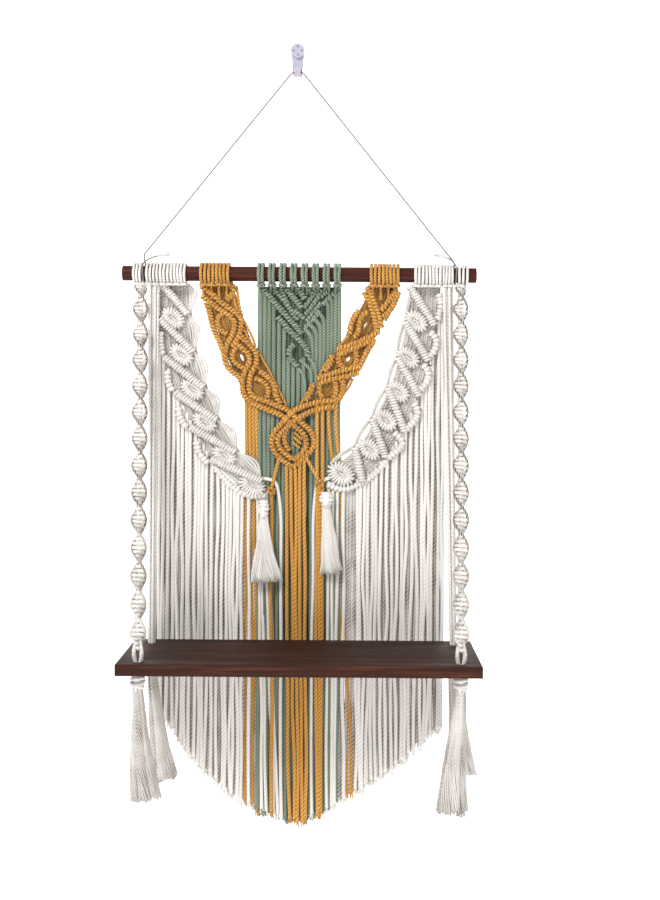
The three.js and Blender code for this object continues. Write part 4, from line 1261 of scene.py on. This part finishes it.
# Polypropylene, injection moulded: glossy and slightly milky, with faint flow marks
plastic = mottled(
    "moulded_polypropylene", 0.22, "#BDBAC8", "#A19EAE", 0.16, Subsurface_Weight=0.25,
    Subsurface_Scale=0.004,
)
# Steel wire, zinc plated: a bluish grey metal, dulled in fine spots
steel = mottled("zinc_plated_pin", 0.35, "#8E9096", "#5C5E64", 0.9, Metallic=1.0)
for name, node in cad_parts.items():
    if name == "wall_hook" or name.startswith("hook_pin"):
        node.data.materials.clear()
        node.data.materials.append(plastic if name == "wall_hook" else steel)
print("hook and pins dressed")

# %% [markdown]
# The stage is a plain pale floor that curves up behind the shelf, under even white light. One large
# soft lamp in front and to the left gives the cords their form, and a weak one on the right opens the
# shadows.

# %% Stage and light
FLOOR_DEPTH = 1.25
SWEEP_DISTANCE = 1.6
SWEEP_RADIUS = 1.0
SWEEP_SIZE = (30, 14)
SWEEP_STEPS = 12
BACKDROP_HEIGHT = 12
PAPER_GLOW = 0.62

pale, pale_tree, pale_shader = new_material("pale_paper", 0.95)
pale_shader.inputs["Base Color"].default_value = (0.9, 0.9, 0.9, 1)
pale_shader.inputs["Emission Color"].default_value = (1, 1, 1, 1)
pale_shader.inputs["Emission Strength"].default_value = PAPER_GLOW


def paper_sweep():
    """A floor that curves up into a backdrop, extruded step by step from one edge."""
    sweep = start_piece(bpy.ops.mesh.primitive_plane_add, size=1)
    sweep.scale = (*SWEEP_SIZE, 1)
    sweep.location = (0, SWEEP_DISTANCE - SWEEP_SIZE[1] / 2, -FLOOR_DEPTH)
    bpy.ops.object.transform_apply(location=True, rotation=True, scale=True)
    bpy.ops.object.mode_set(mode="EDIT")
    bpy.ops.mesh.select_all(action="DESELECT")
    bpy.ops.object.mode_set(mode="OBJECT")
    for vertex in sweep.data.vertices:
        vertex.select = vertex.co.y > 0
    for edge in sweep.data.edges:
        edge.select = all(sweep.data.vertices[k].co.y > 0 for k in edge.vertices)
    bpy.ops.object.mode_set(mode="EDIT")
    chord = SWEEP_RADIUS * math.pi / 2 / SWEEP_STEPS
    for k in range(SWEEP_STEPS):
        angle = (k + 0.5) / SWEEP_STEPS * math.pi / 2
        bpy.ops.mesh.extrude_region_move(
            TRANSFORM_OT_translate={"value": (0, chord * math.cos(angle), chord * math.sin(angle))},
        )
    bpy.ops.mesh.extrude_region_move(TRANSFORM_OT_translate={"value": (0, 0, BACKDROP_HEIGHT)})
    bpy.ops.object.mode_set(mode="OBJECT")
    bpy.ops.object.shade_smooth()
    sweep.name = "paper_sweep"
    sweep.data.materials.append(pale)


paper_sweep()

# %% Light
WORLD_STRENGTH = 0.42
AIM = (0.0, 0.0, -0.5)

world = bpy.data.worlds.new("studio")
world.use_nodes = True
world.node_tree.nodes["Background"].inputs["Color"].default_value = (1, 1, 1, 1)
world.node_tree.nodes["Background"].inputs["Strength"].default_value = WORLD_STRENGTH
bpy.context.scene.world = world
bpy.context.scene.view_settings.view_transform = "Standard"


def soft_lamp(name, place, size, power):
    """A square lamp, aimed at the middle of the curtain; metres and watts."""
    data = bpy.data.lights.new(name, "AREA")
    data.size = size
    data.energy = power
    lamp = bpy.data.objects.new(name, data)
    lamp.location = place
    aim = np.array(AIM) - np.array(place)
    lamp.rotation_euler = (
        math.acos(-aim[2] / np.linalg.norm(aim)), 0, math.atan2(aim[1], aim[0]) - math.pi / 2,
    )
    bpy.context.scene.collection.objects.link(lamp)


soft_lamp("key", (-1.2, -2.0, 1.4), 0.8, 66)
soft_lamp("fill", (1.8, -2.2, -0.2), 1.4, 9)
print("stage ready")
